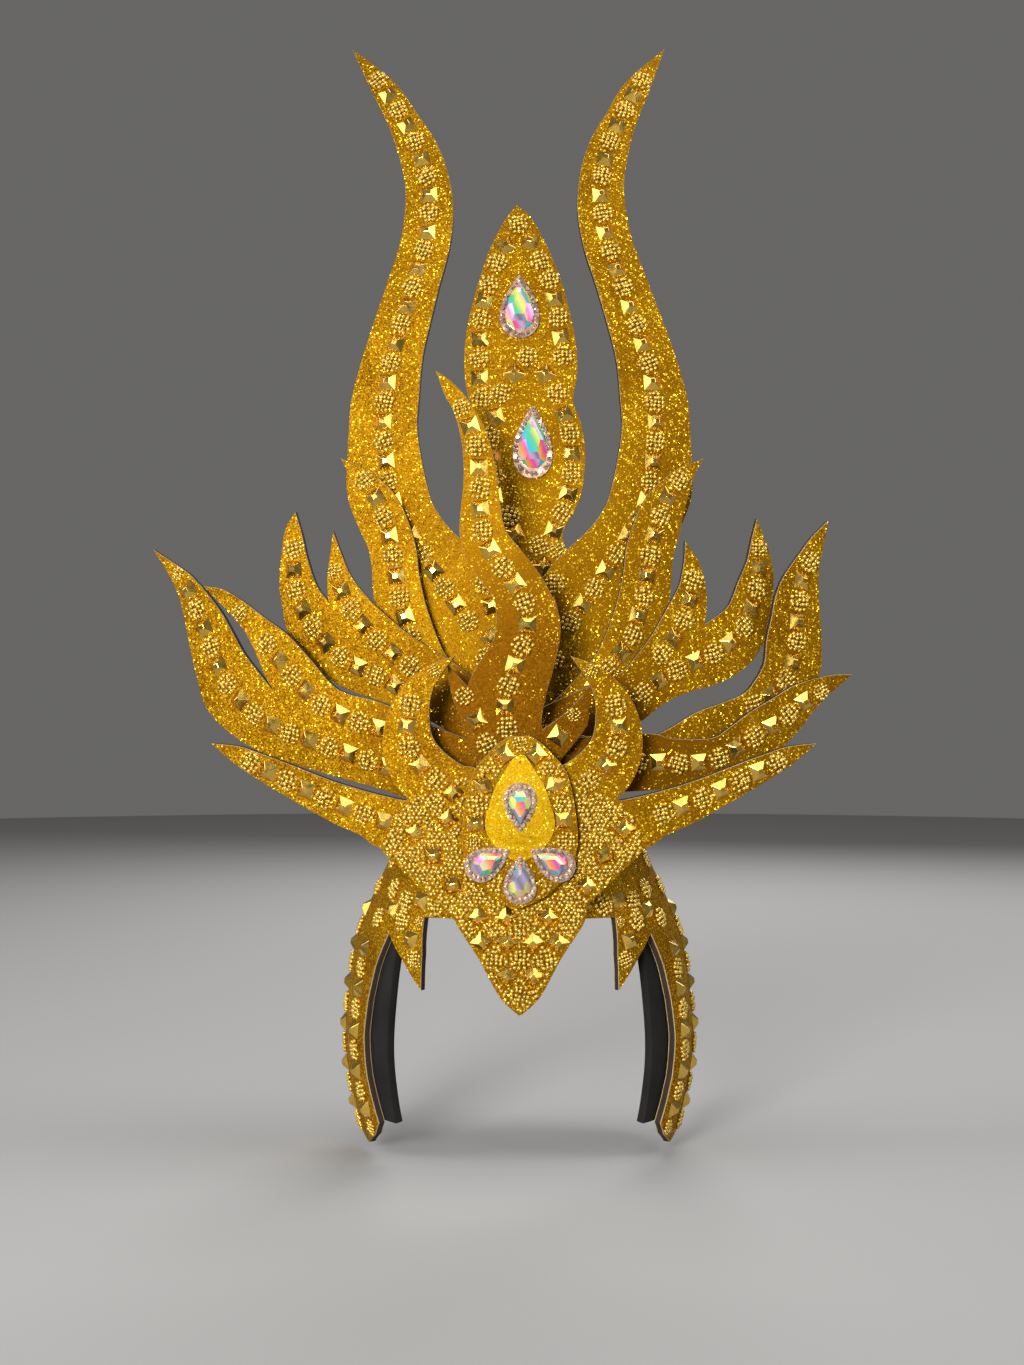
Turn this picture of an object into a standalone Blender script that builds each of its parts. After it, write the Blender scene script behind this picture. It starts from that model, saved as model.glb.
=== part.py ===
"""Carnival headdress: flame-shaped sheets of glittered foam, stacked in front of a head frame.

Metres, +Z up. The wearer faces -Y, and +X is on the right of someone who looks at the face.
The origin is the top of the head hollow, at the underside of the head band where it rests on the head.
Each sheet is drawn flat, gets its pyramid studs there, and is then bent onto a curved face.
"""

import math
from collections import namedtuple

import bmesh
import bpy
from mathutils import Matrix, Vector
from mathutils.geometry import delaunay_2d_cdt, intersect_point_line

# Foam, studs and clearances
FOAM = 0.0045
BAND_FOAM = 0.005
GAP = 0.0003
STUD_SIDE = 0.0096
STUD_TABLE = 0.0026
STUD_HEIGHT = 0.0034
STUD_CLEARANCE = 0.0006
STUD_EDGE = 0.0005
BEAD_PITCH = 0.0115
BEND_STEP = 0.018
HEAD_BEND_STEP = 0.012
EDGE_SHARE = 0.3
PAD_SHARE = 0.1

# Head frame: the helmet is an upright oval shell, and the head band follows it inside
HEAD_HALF_WIDTH = 0.102
HEAD_HALF_DEPTH = 0.095
ARM_DROP = 0.200
HELMET_TOP_DROP = 0.015
CROWN_RISE = 0.020
BAND_DROP = 0.184
BAND_FRONT = 0.058
BAND_BACK = 0.016
BAND_TOP_BACK = 0.010
BAND_WIDE_SHARE = 0.46
BAND_NARROW_SHARE = 0.25

# The stack: each flame sheet rests on the one behind it through a hidden pad on its back
HUB_Z = 0.021
PAD_HALF_HEIGHT = 0.004
PAD_INSIDE = 0.003
PAD_OUTSIDE = 0.016
MIDDLE_PAD_HALF_WIDTH = 0.009
PAD_Z = 0.025
PLATE_PAD_Z = 0.007
ROOT_CLEARANCE = 0.001
STACK = ("plate", "centre", "lower", "lower back", "upper", "mid", "horns", "leaf", "block")
FIRST_OVER_BAND = "mid"
PLAN_RADIUS = 0.450
LEAN_RADIUS = 0.900
BULGE_Z = 0.090
BROW_Z = -0.065
BLOCK_HALF_WIDTH = 0.012
BLOCK_DEPTH = 0.028
BLOCK_TOP = 0.042

# Flames: reach is measured sideways from the middle, rise upwards from the hub
HORN_REACH = 0.098
HORN_RISE = 0.422
HORN_LEAN = 0.0065
LEAN_POWER = 1.5
LEAF_HALF_WIDTH = 0.032
LEAF_RISE = 0.320
CENTRE_REACH = 0.050
CENTRE_RISE = 0.2127
MID_REACH_LEFT = 0.101
MID_REACH_RIGHT = 0.104
MID_RISE = 0.169
UPPER_LEFT_REACH = 0.135
UPPER_LEFT_RISE = 0.1385
UPPER_RIGHT_REACH = 0.143
UPPER_RIGHT_RISE = 0.1346
LOWER_LEFT_REACH = 0.208
LOWER_LEFT_RISE = 0.118
LOWER_BACK_REACH = 0.176
LOWER_BACK_RISE = 0.134
LOWER_FRONT_REACH = 0.187
LOWER_FRONT_RISE = 0.047

# Front plate and medallion
PLATE_X = -0.004
PLATE_HALF_WIDTH = 0.071
PLATE_HEIGHT = 0.079
POINT_HALF_WIDTH = 0.036
POINT_HEIGHT = 0.070
POINT_FOOT_Z = -0.119
SPIKE_REACH_LEFT = 0.166
SPIKE_REACH_RIGHT = 0.167
SPIKE_RISE = 0.0564
SPIKE_FOOT_Z = -0.0264
CURL_REACH = 0.070
CURL_RISE = 0.099
CURL_FOOT_Z = -0.0212
MEDALLION_HALF_WIDTH = 0.031
MEDALLION_HEIGHT = 0.096
MEDALLION_FOOT_Z = -0.058

# Crystals
RIM_WIDTH = 0.0026
RIM_HEIGHT = 0.0026
CRYSTAL_HEIGHT = 0.0060
CRYSTAL_SIDES = 12
CRYSTAL_TABLE = 0.58
TEARDROP_WIDEST = 0.77
UPPER_CRYSTAL = (0.023, 0.039)
LOWER_CRYSTAL = (0.0226, 0.0425)
PETAL_CRYSTAL = (0.0180, 0.0270)
UPPER_CRYSTAL_UP = 0.806
LOWER_CRYSTAL_UP = 0.559
LOWER_CRYSTAL_OUT = 0.231
PETAL_CENTRE_Z = -0.0226
PETAL_RADIUS = 0.0195
PETAL_BEARINGS = (("top", 90), ("left", 210), ("right", 330), ("bottom", 270))

# Each row is a section across a flame, from its root to just short of its tip. The last row is the tip.
# outer_out, outer_up, inner_out, inner_up: the two ends of the section, as shares of reach and rise.
HORN_ROWS = (
    (0.22, -0.030, 0.012, -0.030),
    (0.28, 0.010, 0.012, 0.080),
    (0.42, 0.105, 0.012, 0.190),
    (0.72, 0.211, 0.180, 0.255),
    (0.95, 0.319, 0.360, 0.296),
    (1.00, 0.360, 0.450, 0.320),
    (1.00, 0.400, 0.520, 0.353),
    (0.99, 0.450, 0.587, 0.431),
    (0.98, 0.481, 0.583, 0.480),
    (0.93, 0.529, 0.561, 0.538),
    (0.846, 0.590, 0.519, 0.582),
    (0.755, 0.652, 0.462, 0.635),
    (0.677, 0.711, 0.394, 0.693),
    (0.648, 0.772, 0.366, 0.749),
    (0.669, 0.814, 0.392, 0.802),
    (0.723, 0.863, 0.460, 0.850),
    (0.770, 0.892, 0.564, 0.892),
    (0.840, 0.930, 0.703, 0.944),
    (0.956, 1.000, 0.956, 1.000),
)
LEAF_ROWS = (
    (0.60, -0.040, -0.60, -0.040),
    (0.60, 0.050, -0.60, 0.050),
    (0.62, 0.230, -0.42, 0.230),
    (0.90, 0.330, -0.48, 0.330),
    (0.76, 0.393, -0.50, 0.393),
    (0.935, 0.428, -0.62, 0.428),
    (1.11, 0.472, -0.70, 0.472),
    (1.167, 0.534, -0.72, 0.534),
    (1.11, 0.589, -0.80, 0.589),
    (0.957, 0.633, -0.90, 0.633),
    (1.03, 0.680, -0.98, 0.680),
    (1.02, 0.734, -0.98, 0.734),
    (0.90, 0.800, -0.90, 0.790),
    (0.72, 0.866, -0.755, 0.847),
    (0.45, 0.933, -0.54, 0.915),
    (0.18, 0.980, -0.27, 0.970),
    (-0.05, 1.000, -0.05, 1.000),
)
CENTRE_ROWS = (
    (0.34, -0.090, -0.46, -0.090),
    (0.38, 0.030, -0.48, 0.030),
    (0.24, 0.085, -0.52, 0.085),
    (0.27, 0.155, -0.59, 0.142),
    (0.36, 0.232, -0.54, 0.206),
    (0.43, 0.309, -0.39, 0.270),
    (0.43, 0.360, -0.27, 0.322),
    (0.36, 0.411, -0.27, 0.398),
    (0.22, 0.473, -0.39, 0.449),
    (0.02, 0.534, -0.57, 0.500),
    (-0.16, 0.590, -0.65, 0.573),
    (-0.22, 0.667, -0.64, 0.642),
    (-0.27, 0.757, -0.61, 0.718),
    (-0.38, 0.846, -0.63, 0.808),
    (-0.57, 0.924, -0.71, 0.885),
    (-0.74, 0.969, -0.82, 0.936),
    (-0.92, 1.000, -0.92, 1.000),
)
CENTRE_LEFT_ROWS = (
    (-0.30, -0.040, -0.05, 0.000),
    (-0.52, 0.030, -0.20, 0.080),
    (-0.64, 0.110, -0.36, 0.150),
    (-0.74, 0.170, -0.52, 0.180),
    (-0.79, 0.248, -0.79, 0.248),
)
CENTRE_RIGHT_ROWS = (
    (0.30, -0.040, 0.00, 0.000),
    (0.50, 0.020, 0.12, 0.060),
    (0.70, 0.080, 0.30, 0.090),
    (0.75, 0.115, 0.50, 0.125),
    (0.68, 0.170, 0.68, 0.170),
)
MID_ROWS = (
    (0.22, -0.080, 0.012, -0.080),
    (0.33, 0.060, 0.012, 0.100),
    (0.56, 0.260, 0.200, 0.200),
    (0.76, 0.420, 0.388, 0.326),
    (0.804, 0.514, 0.449, 0.392),
    (0.815, 0.563, 0.514, 0.500),
    (0.826, 0.656, 0.553, 0.600),
    (0.864, 0.748, 0.574, 0.699),
    (0.885, 0.810, 0.624, 0.795),
    (0.908, 0.861, 0.700, 0.880),
    (0.946, 0.937, 0.837, 0.953),
    (1.000, 1.000, 1.000, 1.000),
)
UPPER_LEFT_A = (
    (0.012, -0.100, 0.012, 0.096),
    (0.207, 0.055, 0.207, 0.196),
    (0.415, 0.176, 0.415, 0.317),
    (0.600, 0.240, 0.600, 0.437),
    (0.743, 0.293, 0.680, 0.490),
    (0.834, 0.353, 0.726, 0.538),
    (0.913, 0.430, 0.793, 0.635),
    (0.963, 0.506, 0.830, 0.680),
    (0.988, 0.614, 0.855, 0.731),
    (1.000, 0.711, 0.872, 0.780),
    (0.992, 0.828, 0.884, 0.820),
    (0.975, 0.928, 0.905, 0.908),
    (0.934, 1.000, 0.934, 1.000),
)
UPPER_LEFT_B = (
    (0.100, 0.050, 0.100, 0.230),
    (0.250, 0.150, 0.250, 0.370),
    (0.450, 0.250, 0.390, 0.457),
    (0.620, 0.370, 0.490, 0.526),
    (0.720, 0.480, 0.593, 0.614),
    (0.780, 0.600, 0.651, 0.675),
    (0.795, 0.680, 0.701, 0.743),
    (0.793, 0.752, 0.743, 0.840),
    (0.772, 0.916, 0.772, 0.916),
)
UPPER_RIGHT_A = (
    (0.012, -0.090, 0.012, 0.120),
    (0.200, 0.000, 0.200, 0.200),
    (0.400, 0.100, 0.400, 0.330),
    (0.555, 0.223, 0.550, 0.440),
    (0.660, 0.276, 0.620, 0.490),
    (0.760, 0.305, 0.680, 0.530),
    (0.867, 0.363, 0.734, 0.566),
    (0.934, 0.434, 0.770, 0.591),
    (0.977, 0.533, 0.820, 0.640),
    (0.992, 0.653, 0.855, 0.731),
    (1.000, 0.752, 0.880, 0.790),
    (0.988, 0.843, 0.895, 0.831),
    (0.961, 0.922, 0.914, 0.922),
    (0.934, 1.000, 0.934, 1.000),
)
UPPER_RIGHT_B = (
    (0.060, 0.020, 0.060, 0.200),
    (0.220, 0.100, 0.220, 0.280),
    (0.420, 0.250, 0.383, 0.351),
    (0.560, 0.360, 0.449, 0.421),
    (0.670, 0.460, 0.508, 0.504),
    (0.720, 0.560, 0.563, 0.603),
    (0.730, 0.653, 0.600, 0.673),
    (0.723, 0.731, 0.625, 0.731),
    (0.699, 0.814, 0.641, 0.823),
    (0.645, 0.901, 0.645, 0.901),
)
LOWER_LEFT_A = (
    (0.008, -0.120, 0.008, 0.100),
    (0.155, -0.180, 0.155, 0.050),
    (0.283, -0.180, 0.280, 0.050),
    (0.362, -0.138, 0.380, 0.100),
    (0.458, -0.092, 0.480, 0.170),
    (0.569, -0.038, 0.560, 0.230),
    (0.675, 0.020, 0.620, 0.280),
    (0.755, 0.094, 0.656, 0.325),
    (0.818, 0.183, 0.688, 0.390),
    (0.853, 0.272, 0.735, 0.493),
    (0.873, 0.400, 0.768, 0.593),
    (0.891, 0.529, 0.803, 0.697),
    (0.905, 0.653, 0.847, 0.795),
    (0.925, 0.782, 0.875, 0.845),
    (0.957, 0.889, 0.902, 0.889),
    (1.000, 1.000, 1.000, 1.000),
)
LOWER_LEFT_B = (
    (0.060, -0.080, 0.060, 0.060),
    (0.200, -0.050, 0.200, 0.140),
    (0.362, 0.020, 0.362, 0.264),
    (0.480, 0.100, 0.453, 0.307),
    (0.570, 0.180, 0.498, 0.353),
    (0.630, 0.270, 0.555, 0.469),
    (0.672, 0.370, 0.616, 0.582),
    (0.700, 0.480, 0.675, 0.658),
    (0.735, 0.600, 0.740, 0.742),
    (0.790, 0.710, 0.797, 0.800),
    (0.853, 0.817, 0.853, 0.817),
)
LOWER_BACK_ROWS = (
    (-0.13, -0.100, -0.13, 0.120),
    (0.12, -0.120, 0.120, 0.120),
    (0.37, -0.050, 0.330, 0.060),
    (0.56, 0.060, 0.449, 0.114),
    (0.66, 0.110, 0.551, 0.190),
    (0.75, 0.160, 0.644, 0.235),
    (0.83, 0.210, 0.706, 0.269),
    (0.89, 0.260, 0.738, 0.311),
    (0.94, 0.310, 0.774, 0.394),
    (0.964, 0.380, 0.783, 0.495),
    (0.966, 0.480, 0.800, 0.595),
    (0.962, 0.580, 0.813, 0.679),
    (0.957, 0.700, 0.839, 0.758),
    (0.957, 0.779, 0.889, 0.850),
    (0.971, 0.879, 0.936, 0.929),
    (0.991, 1.000, 0.991, 1.000),
)
LOWER_FRONT_ROWS = (
    (0.008, -0.38, 0.008, 0.26),
    (0.117, -0.40, 0.117, 0.26),
    (0.350, -0.36, 0.366, 0.31),
    (0.450, -0.33, 0.443, 0.253),
    (0.530, -0.31, 0.518, 0.24),
    (0.600, -0.21, 0.575, 0.264),
    (0.650, -0.13, 0.620, 0.38),
    (0.720, 0.02, 0.685, 0.567),
    (0.780, 0.14, 0.752, 0.72),
    (0.840, 0.375, 0.813, 0.862),
    (0.872, 0.54, 0.878, 0.946),
    (0.910, 0.70, 0.939, 0.993),
    (1.000, 1.00, 1.000, 1.00),
)
SPIKE_ROWS = (
    (0.250, -0.100, 0.250, 0.420),
    (0.428, 0.000, 0.341, 0.463),
    (0.500, 0.130, 0.454, 0.535),
    (0.603, 0.264, 0.587, 0.647),
    (0.769, 0.534, 0.752, 0.826),
    (0.860, 0.690, 0.840, 0.915),
    (0.927, 0.819, 0.905, 0.972),
    (1.000, 1.000, 1.000, 1.000),
)
CURL_ROWS = (
    (0.620, 0.100, 0.100, 0.300),
    (0.794, 0.214, 0.286, 0.393),
    (0.905, 0.301, 0.389, 0.409),
    (0.981, 0.420, 0.534, 0.485),
    (1.000, 0.544, 0.618, 0.572),
    (0.966, 0.679, 0.637, 0.707),
    (0.889, 0.788, 0.610, 0.815),
    (0.763, 0.891, 0.560, 0.880),
    (0.595, 0.961, 0.534, 0.911),
    (0.439, 1.000, 0.439, 1.000),
)

# half, up: half widths and heights of a shape with two equal halves, as shares of its own sizes
PLATE_ROWS = (
    (0.45, 0.00),
    (0.66, 0.18),
    (0.87, 0.365),
    (1.00, 0.49),
    (0.97, 0.66),
    (0.80, 0.83),
    (0.40, 1.00),
)
POINT_ROWS = (
    (0.00, 0.00),
    (0.30, 0.15),
    (0.60, 0.44),
    (0.75, 0.565),
    (0.97, 0.75),
    (1.00, 0.87),
    (0.95, 1.00),
)
MEDALLION_ROWS = (
    (0.00, 0.000),
    (0.36, 0.050),
    (0.62, 0.115),
    (0.82, 0.190),
    (0.94, 0.270),
    (1.00, 0.380),
    (0.985, 0.485),
    (0.94, 0.590),
    (0.87, 0.700),
    (0.76, 0.790),
    (0.58, 0.860),
    (0.40, 0.920),
    (0.20, 0.965),
    (0.00, 1.000),
)
# down, wide: half width of the helmet at a depth below the crown, as shares of ARM_DROP and HEAD_HALF_WIDTH
HELMET_WIDTHS = (
    (0.0, 0.66),
    (0.10, 0.69),
    (0.19, 0.74),
    (0.29, 0.83),
    (0.42, 0.93),
    (0.59, 0.985),
    (0.73, 1.0),
    (0.87, 0.965),
    (1.0, 0.90),
)
# turn in degrees from the front, down: right half of the helmet's outline, as a share of ARM_DROP
HELMET_ROWS = (
    (0.0, 0.325),
    (37.0, 0.330),
    (34.5, 0.430),
    (33.5, 0.530),
    (43.0, 0.450),
    (52.5, 0.385),
    (56.5, 0.480),
    (59.0, 0.580),
    (60.0, 0.680),
    (59.0, 0.800),
    (56.0, 0.925),
    (61.0, 0.965),
    (70.0, 1.000),
    (88.0, 0.960),
    (99.0, 0.820),
    (104.0, 0.640),
    (105.0, 0.420),
    (102.0, 0.240),
    (92.0, 0.120),
    (60.0, 0.075),
)

# Single studs. turn in degrees from the front, down: right half of the helmet, as a share of ARM_DROP
HELMET_STUDS = (
    (25.0, 0.288),
    (40.5, 0.288),
    (55.0, 0.320),
    (40.5, 0.395),
    (66.5, 0.440),
    (66.5, 0.554),
    (67.0, 0.673),
    (66.5, 0.790),
    (63.5, 0.895),
    (84.0, 0.340),
    (84.0, 0.440),
    (84.0, 0.554),
    (84.0, 0.673),
    (84.0, 0.790),
    (80.0, 0.895),
)
# out, up, turn: single studs as shares of a shape's half width and height, and a turn in degrees
PLATE_STUDS = (
    (-0.87, 0.44, 15.0),
    (-0.74, 0.60, 40.0),
    (-0.60, 0.445, 0.0),
    (-0.665, 0.262, 45.0),
    (-0.49, 0.70, 45.0),
    (-0.45, 0.245, 10.0),
    (0.85, 0.63, 45.0),
    (0.70, 0.45, 20.0),
    (0.90, 0.46, 0.0),
    (0.56, 0.245, 45.0),
)
POINT_STUDS = (
    (-0.62, 0.80, 45.0),
    (-0.20, 0.80, 45.0),
    (0.42, 0.80, 45.0),
    (0.81, 0.81, 10.0),
    (-0.573, 0.60, 45.0),
    (-0.192, 0.60, 45.0),
    (0.192, 0.60, 45.0),
    (0.573, 0.60, 45.0),
    (-0.195, 0.33, 45.0),
    (0.195, 0.33, 45.0),
)
MEDALLION_STUDS = (
    (-0.27, 0.865, 43.0),
    (0.27, 0.865, 47.0),
    (-0.63, 0.69, 15.0),
    (0.61, 0.70, -18.0),
    (-0.76, 0.48, 5.0),
    (0.74, 0.50, -4.0),
)
LEAF_STUDS = (
    (-0.25, 0.922, 25.0),
    (0.19, 0.930, -20.0),
    (-0.09, 0.683, 45.0),
    (0.46, 0.683, 40.0),
    (-0.44, 0.605, 20.0),
)
# flame, across, first, count: rows of studs, each with its flame in the sheet, its share of the width,
# its distance from the tip in bead pitches, and the number of studs
CENTRE_STUDS = ((0, 0.5, 3.20, 9),)
LOWER_LEFT_STUDS = ((0, 0.5, 2.85, 8), (1, 0.5, 3.35, 5))
LOWER_FRONT_STUDS = ((0, 0.5, 2.85, 6),)
LOWER_BACK_STUDS = ((0, 0.5, 3.30, 4),)
UPPER_LEFT_STUDS = ((0, 0.5, 2.85, 5), (1, 0.5, 2.95, 3))
UPPER_RIGHT_STUDS = ((0, 0.5, 2.45, 5), (1, 0.5, 2.95, 3))
MID_STUDS = ((0, 0.5, 2.70, 6),)
HORN_STUDS = ((0, 0.5, 3.40, 14),)
LEAF_BORDERS = ((0, 0.13, 3.35, 11), (0, 0.87, 3.35, 11))
SPIKE_STUDS = (0.5, 3.15, 4)
CURL_STUDS = (0.5, 2.20, 4)

Flame = namedtuple("Flame", "side reach rise foot_x foot_z rows")
Studs = namedtuple("Studs", "flame across first count")


def clear_scene():
    for thing in list(bpy.data.objects):
        bpy.data.objects.remove(thing)


def material(name, colour, roughness, metallic):
    shade = bpy.data.materials.new(name)
    shade.use_nodes = True
    surface = shade.node_tree.nodes["Principled BSDF"]
    surface.inputs["Base Color"].default_value = (*colour, 1.0)
    surface.inputs["Roughness"].default_value = roughness
    surface.inputs["Metallic"].default_value = metallic
    return shade


def smooth_line(points, cuts):
    """A curve through the points, with each span cut into equal steps of its parameter."""
    ends = [points[0] * 2 - points[1], *points, points[-1] * 2 - points[-2]]
    line = []
    for a, b, c, d in zip(ends, ends[1:], ends[2:], ends[3:]):
        for cut in range(cuts):
            t = cut / cuts
            bend = (2 * a - 5 * b + 4 * c - d) * t * t + (3 * b - a - 3 * c + d) * t * t * t
            line.append(b + ((c - a) * t + bend) / 2)
    return line + [points[-1]]


def edges_of(flame, cuts=2):
    """The outer and inner edge of a flame, from root to tip."""
    outer, inner = [], []
    for outer_out, outer_up, inner_out, inner_up in flame.rows:
        outer.append(Vector((outer_out * flame.reach * flame.side, outer_up * flame.rise)))
        inner.append(Vector((inner_out * flame.reach * flame.side, inner_up * flame.rise)))
    foot = Vector((flame.foot_x, flame.foot_z))
    return [[foot + point for point in smooth_line(edge, cuts)] for edge in (outer, inner)]


def outline_of(flame):
    outer, inner = edges_of(flame)
    loop = outer + inner[::-1]
    return [point for point, before in zip(loop, loop[-1:] + loop[:-1]) if (point - before).length > GAP]


def both_halves(rows, half_width, height, foot_x, foot_z):
    """A flame whose inner edge mirrors its outer edge."""
    doubled = tuple((half, up, -half, up) for half, up in rows)
    return Flame(1, half_width, height, foot_x, foot_z, doubled)


def walk(line, distance):
    """The point and direction at a distance along a line, or None past its end."""
    for start, end in zip(line, line[1:]):
        step = (end - start).length
        if distance <= step:
            return start.lerp(end, distance / step), (end - start).normalized()
        distance -= step
    return None


def studs_on(row):
    """Places and directions of a row of studs, counted from the flame's tip."""
    outer, inner = edges_of(row.flame, 4)
    line = [a.lerp(b, row.across) for a, b in zip(outer, inner)][::-1]
    found = [walk(line, (row.first + 2 * i) * BEAD_PITCH) for i in range(row.count)]
    return [place for place in found if place]


def cut_edges(loop, step):
    """The loop with its long straight sides cut into shorter ones."""
    cut = []
    for start, end in zip(loop, loop[1:] + loop[:1]):
        count = max(1, round((end - start).length / step))
        cut += [start.lerp(end, i / count) for i in range(count)]
    return cut


def nearest_edge(point, loop):
    distances = []
    for start, end in zip(loop, loop[1:] + loop[:1]):
        spot, share = intersect_point_line(point, start, end)
        spot = start if share < 0 else end if share > 1 else spot
        distances.append((point - spot.to_2d()).length)
    return min(distances)


def inside(point, loop):
    crossings = 0
    for start, end in zip(loop, loop[1:] + loop[:1]):
        if (start.y > point.y) != (end.y > point.y):
            across = start.x + (point.y - start.y) / (end.y - start.y) * (end.x - start.x)
            crossings += across > point.x
    return crossings % 2 == 1


def stands_on(spot, loops, covers):
    """True where a stud's foot lies wholly on the sheet and clear of what covers the sheet."""
    corners = stud_pads(*spot)[0][0]
    clear = [all(inside(p, loop) and nearest_edge(p, loop) > STUD_EDGE for p in corners) for loop in loops]
    covered = [inside(p, loop) or nearest_edge(p, loop) < STUD_EDGE for loop in covers for p in corners]
    return any(clear) and not any(covered)


def bend_points(loops, step, pads):
    """A staggered grid of points on the sheet, where it may bend, clear of its outlines and pads."""
    corners = [point for loop in loops for point in loop]
    low = Vector((min(p.x for p in corners), min(p.y for p in corners)))
    high = Vector((max(p.x for p in corners), max(p.y for p in corners)))
    points = []
    for row in range(int(low.y / step) - 1, int(high.y / step) + 2):
        for column in range(int(low.x / step) - 1, int(high.x / step) + 2):
            point = Vector(((column + row % 2 / 2) * step, row * step))
            on_sheet = any(inside(point, loop) for loop in loops)
            clear = all(nearest_edge(point, loop) > EDGE_SHARE * step for loop in loops)
            free = all(nearest_edge(point, pad) > PAD_SHARE * step for pad, _ in pads)
            covered = any(inside(point, pad) for pad, _ in pads)
            if on_sheet and clear and free and not covered:
                points.append(point)
    return points


def stud_pads(centre, along):
    """A pyramid stud with a small flat table: its foot and its table as two level squares."""
    pads = []
    for side, height in ((STUD_SIDE, 0.0), (STUD_TABLE, STUD_HEIGHT)):
        arms = [Matrix.Rotation(math.radians(45 + 90 * turn), 2) @ along for turn in range(4)]
        pads.append(([centre + arm * side / math.sqrt(2) for arm in arms], height))
    return pads


def rest_pad(low_x, high_x, middle_z):
    """A hidden pad on a sheet's back, as high as the space to the sheet behind."""
    pads = []
    for grow, height in ((2 * GAP, 0.0), (0.0, STUD_HEIGHT + STUD_CLEARANCE)):
        left, right = low_x - grow, high_x + grow
        low, high = middle_z - PAD_HALF_HEIGHT - grow, middle_z + PAD_HALF_HEIGHT + grow
        pads.append(([Vector(p) for p in ((left, low), (right, low), (right, high), (left, high))], height))
    return pads


def triangulate(loops, pads, points):
    """Triangles of the sheet drawn flat, with a height over the sheet at each corner."""
    corners, heights, faces = [], [], []
    for loop, height in [(loop, 0.0) for loop in loops] + pads:
        faces.append(list(range(len(corners), len(corners) + len(loop))))
        corners += loop
        heights += [height] * len(loop)
    corners += points
    heights += [0.0] * len(points)
    flat, _, triangles, sources, _, _ = delaunay_2d_cdt(corners, [], faces, 1, 1e-7)
    raised = [max([heights[i] for i in source], default=0.0) for source in sources]
    return flat, triangles, raised


def boundary(triangles):
    ways = {(t[i], t[(i + 1) % 3]) for t in triangles for i in range(3)}
    return [way for way in ways if (way[1], way[0]) not in ways]


def lift(place, u, v, height):
    """The point of a curved face at (u, v), moved out along its normal."""
    small = 1e-4
    along_u = place(u + small, v) - place(u - small, v)
    along_v = place(u, v + small) - place(u, v - small)
    return place(u, v) + along_u.cross(along_v).normalized() * height


def single_studs(table, width, height, foot=(0.0, 0.0)):
    """Places and directions of studs that stand by themselves."""
    upright = Vector((0.0, 1.0))
    studs = []
    for out, up, turn in table:
        middle = Vector((foot[0] + out * width, foot[1] + up * height))
        studs.append((middle, Matrix.Rotation(math.radians(turn), 2) @ upright))
    return studs


def sheet(name, shade, place, loops, studs=(), rests=(), thickness=FOAM, step=BEND_STEP, covers=()):
    """A closed sheet with the loops' united outline, bent onto the face that place(u, v) gives.

    studs are rows, or single places with a direction. A stud needs room between those set before it.
    covers are the outlines of what lies on the sheet.
    """
    loops = [cut_edges(loop, step) for loop in loops]
    spots = []
    for spot in [spot for row in studs for spot in (studs_on(row) if isinstance(row, Studs) else [row])]:
        roomy = all((spot[0] - other[0]).length > STUD_SIDE * math.sqrt(2) for other in spots)
        if roomy and stands_on(spot, loops, covers):
            spots.append(spot)
    studs = [pad for spot in spots for pad in stud_pads(*spot)]
    pads = [pad for rest in rests for pad in rest_pad(*rest)]
    front, front_faces, raised = triangulate(loops, studs, bend_points(loops, step, studs))
    back, back_faces, sunk = triangulate(loops, pads, bend_points(loops, step, pads))
    shape = bmesh.new()
    front_verts = [shape.verts.new(lift(place, p.x, p.y, h)) for p, h in zip(front, raised)]
    back_verts = [shape.verts.new(lift(place, p.x, p.y, -thickness - h)) for p, h in zip(back, sunk)]
    for face in front_faces:
        shape.faces.new([front_verts[i] for i in face])
    for face in back_faces:
        shape.faces.new([back_verts[i] for i in reversed(face)])
    rim = [start for start, _ in boundary(back_faces)]
    behind = {}
    for start, end in boundary(front_faces):
        behind[start] = back_verts[min(rim, key=lambda i: (back[i] - front[start]).length)]
    for start, end in boundary(front_faces):
        shape.faces.new([front_verts[end], front_verts[start], behind[start], behind[end]])
    return finish(name, shape, shade)


def finish(name, shape, shade):
    used = [vert for vert in shape.verts if not vert.link_faces]
    bmesh.ops.delete(shape, geom=used, context="VERTS")
    mesh = bpy.data.meshes.new(name)
    shape.to_mesh(mesh)
    shape.free()
    mesh.materials.append(shade)
    thing = bpy.data.objects.new(name, mesh)
    bpy.context.collection.objects.link(thing)
    return thing


def stack_face(layer):
    """The front face of a sheet in the stack. The front plate is layer 0, and higher layers lie behind it."""
    brow_lean = (BROW_Z - BULGE_Z) ** 2 / (2 * LEAN_RADIUS)
    pitch = FOAM + STUD_HEIGHT + STUD_CLEARANCE + GAP
    front = -(HEAD_HALF_DEPTH + GAP + FOAM) - brow_lean + layer * (pitch if layer > 0 else FOAM + GAP)

    def place(x, z):
        bow = x * x / (2 * PLAN_RADIUS) + (z - BULGE_Z) ** 2 / (2 * LEAN_RADIUS)
        return Vector((x, front + bow, z))

    return place


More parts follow.
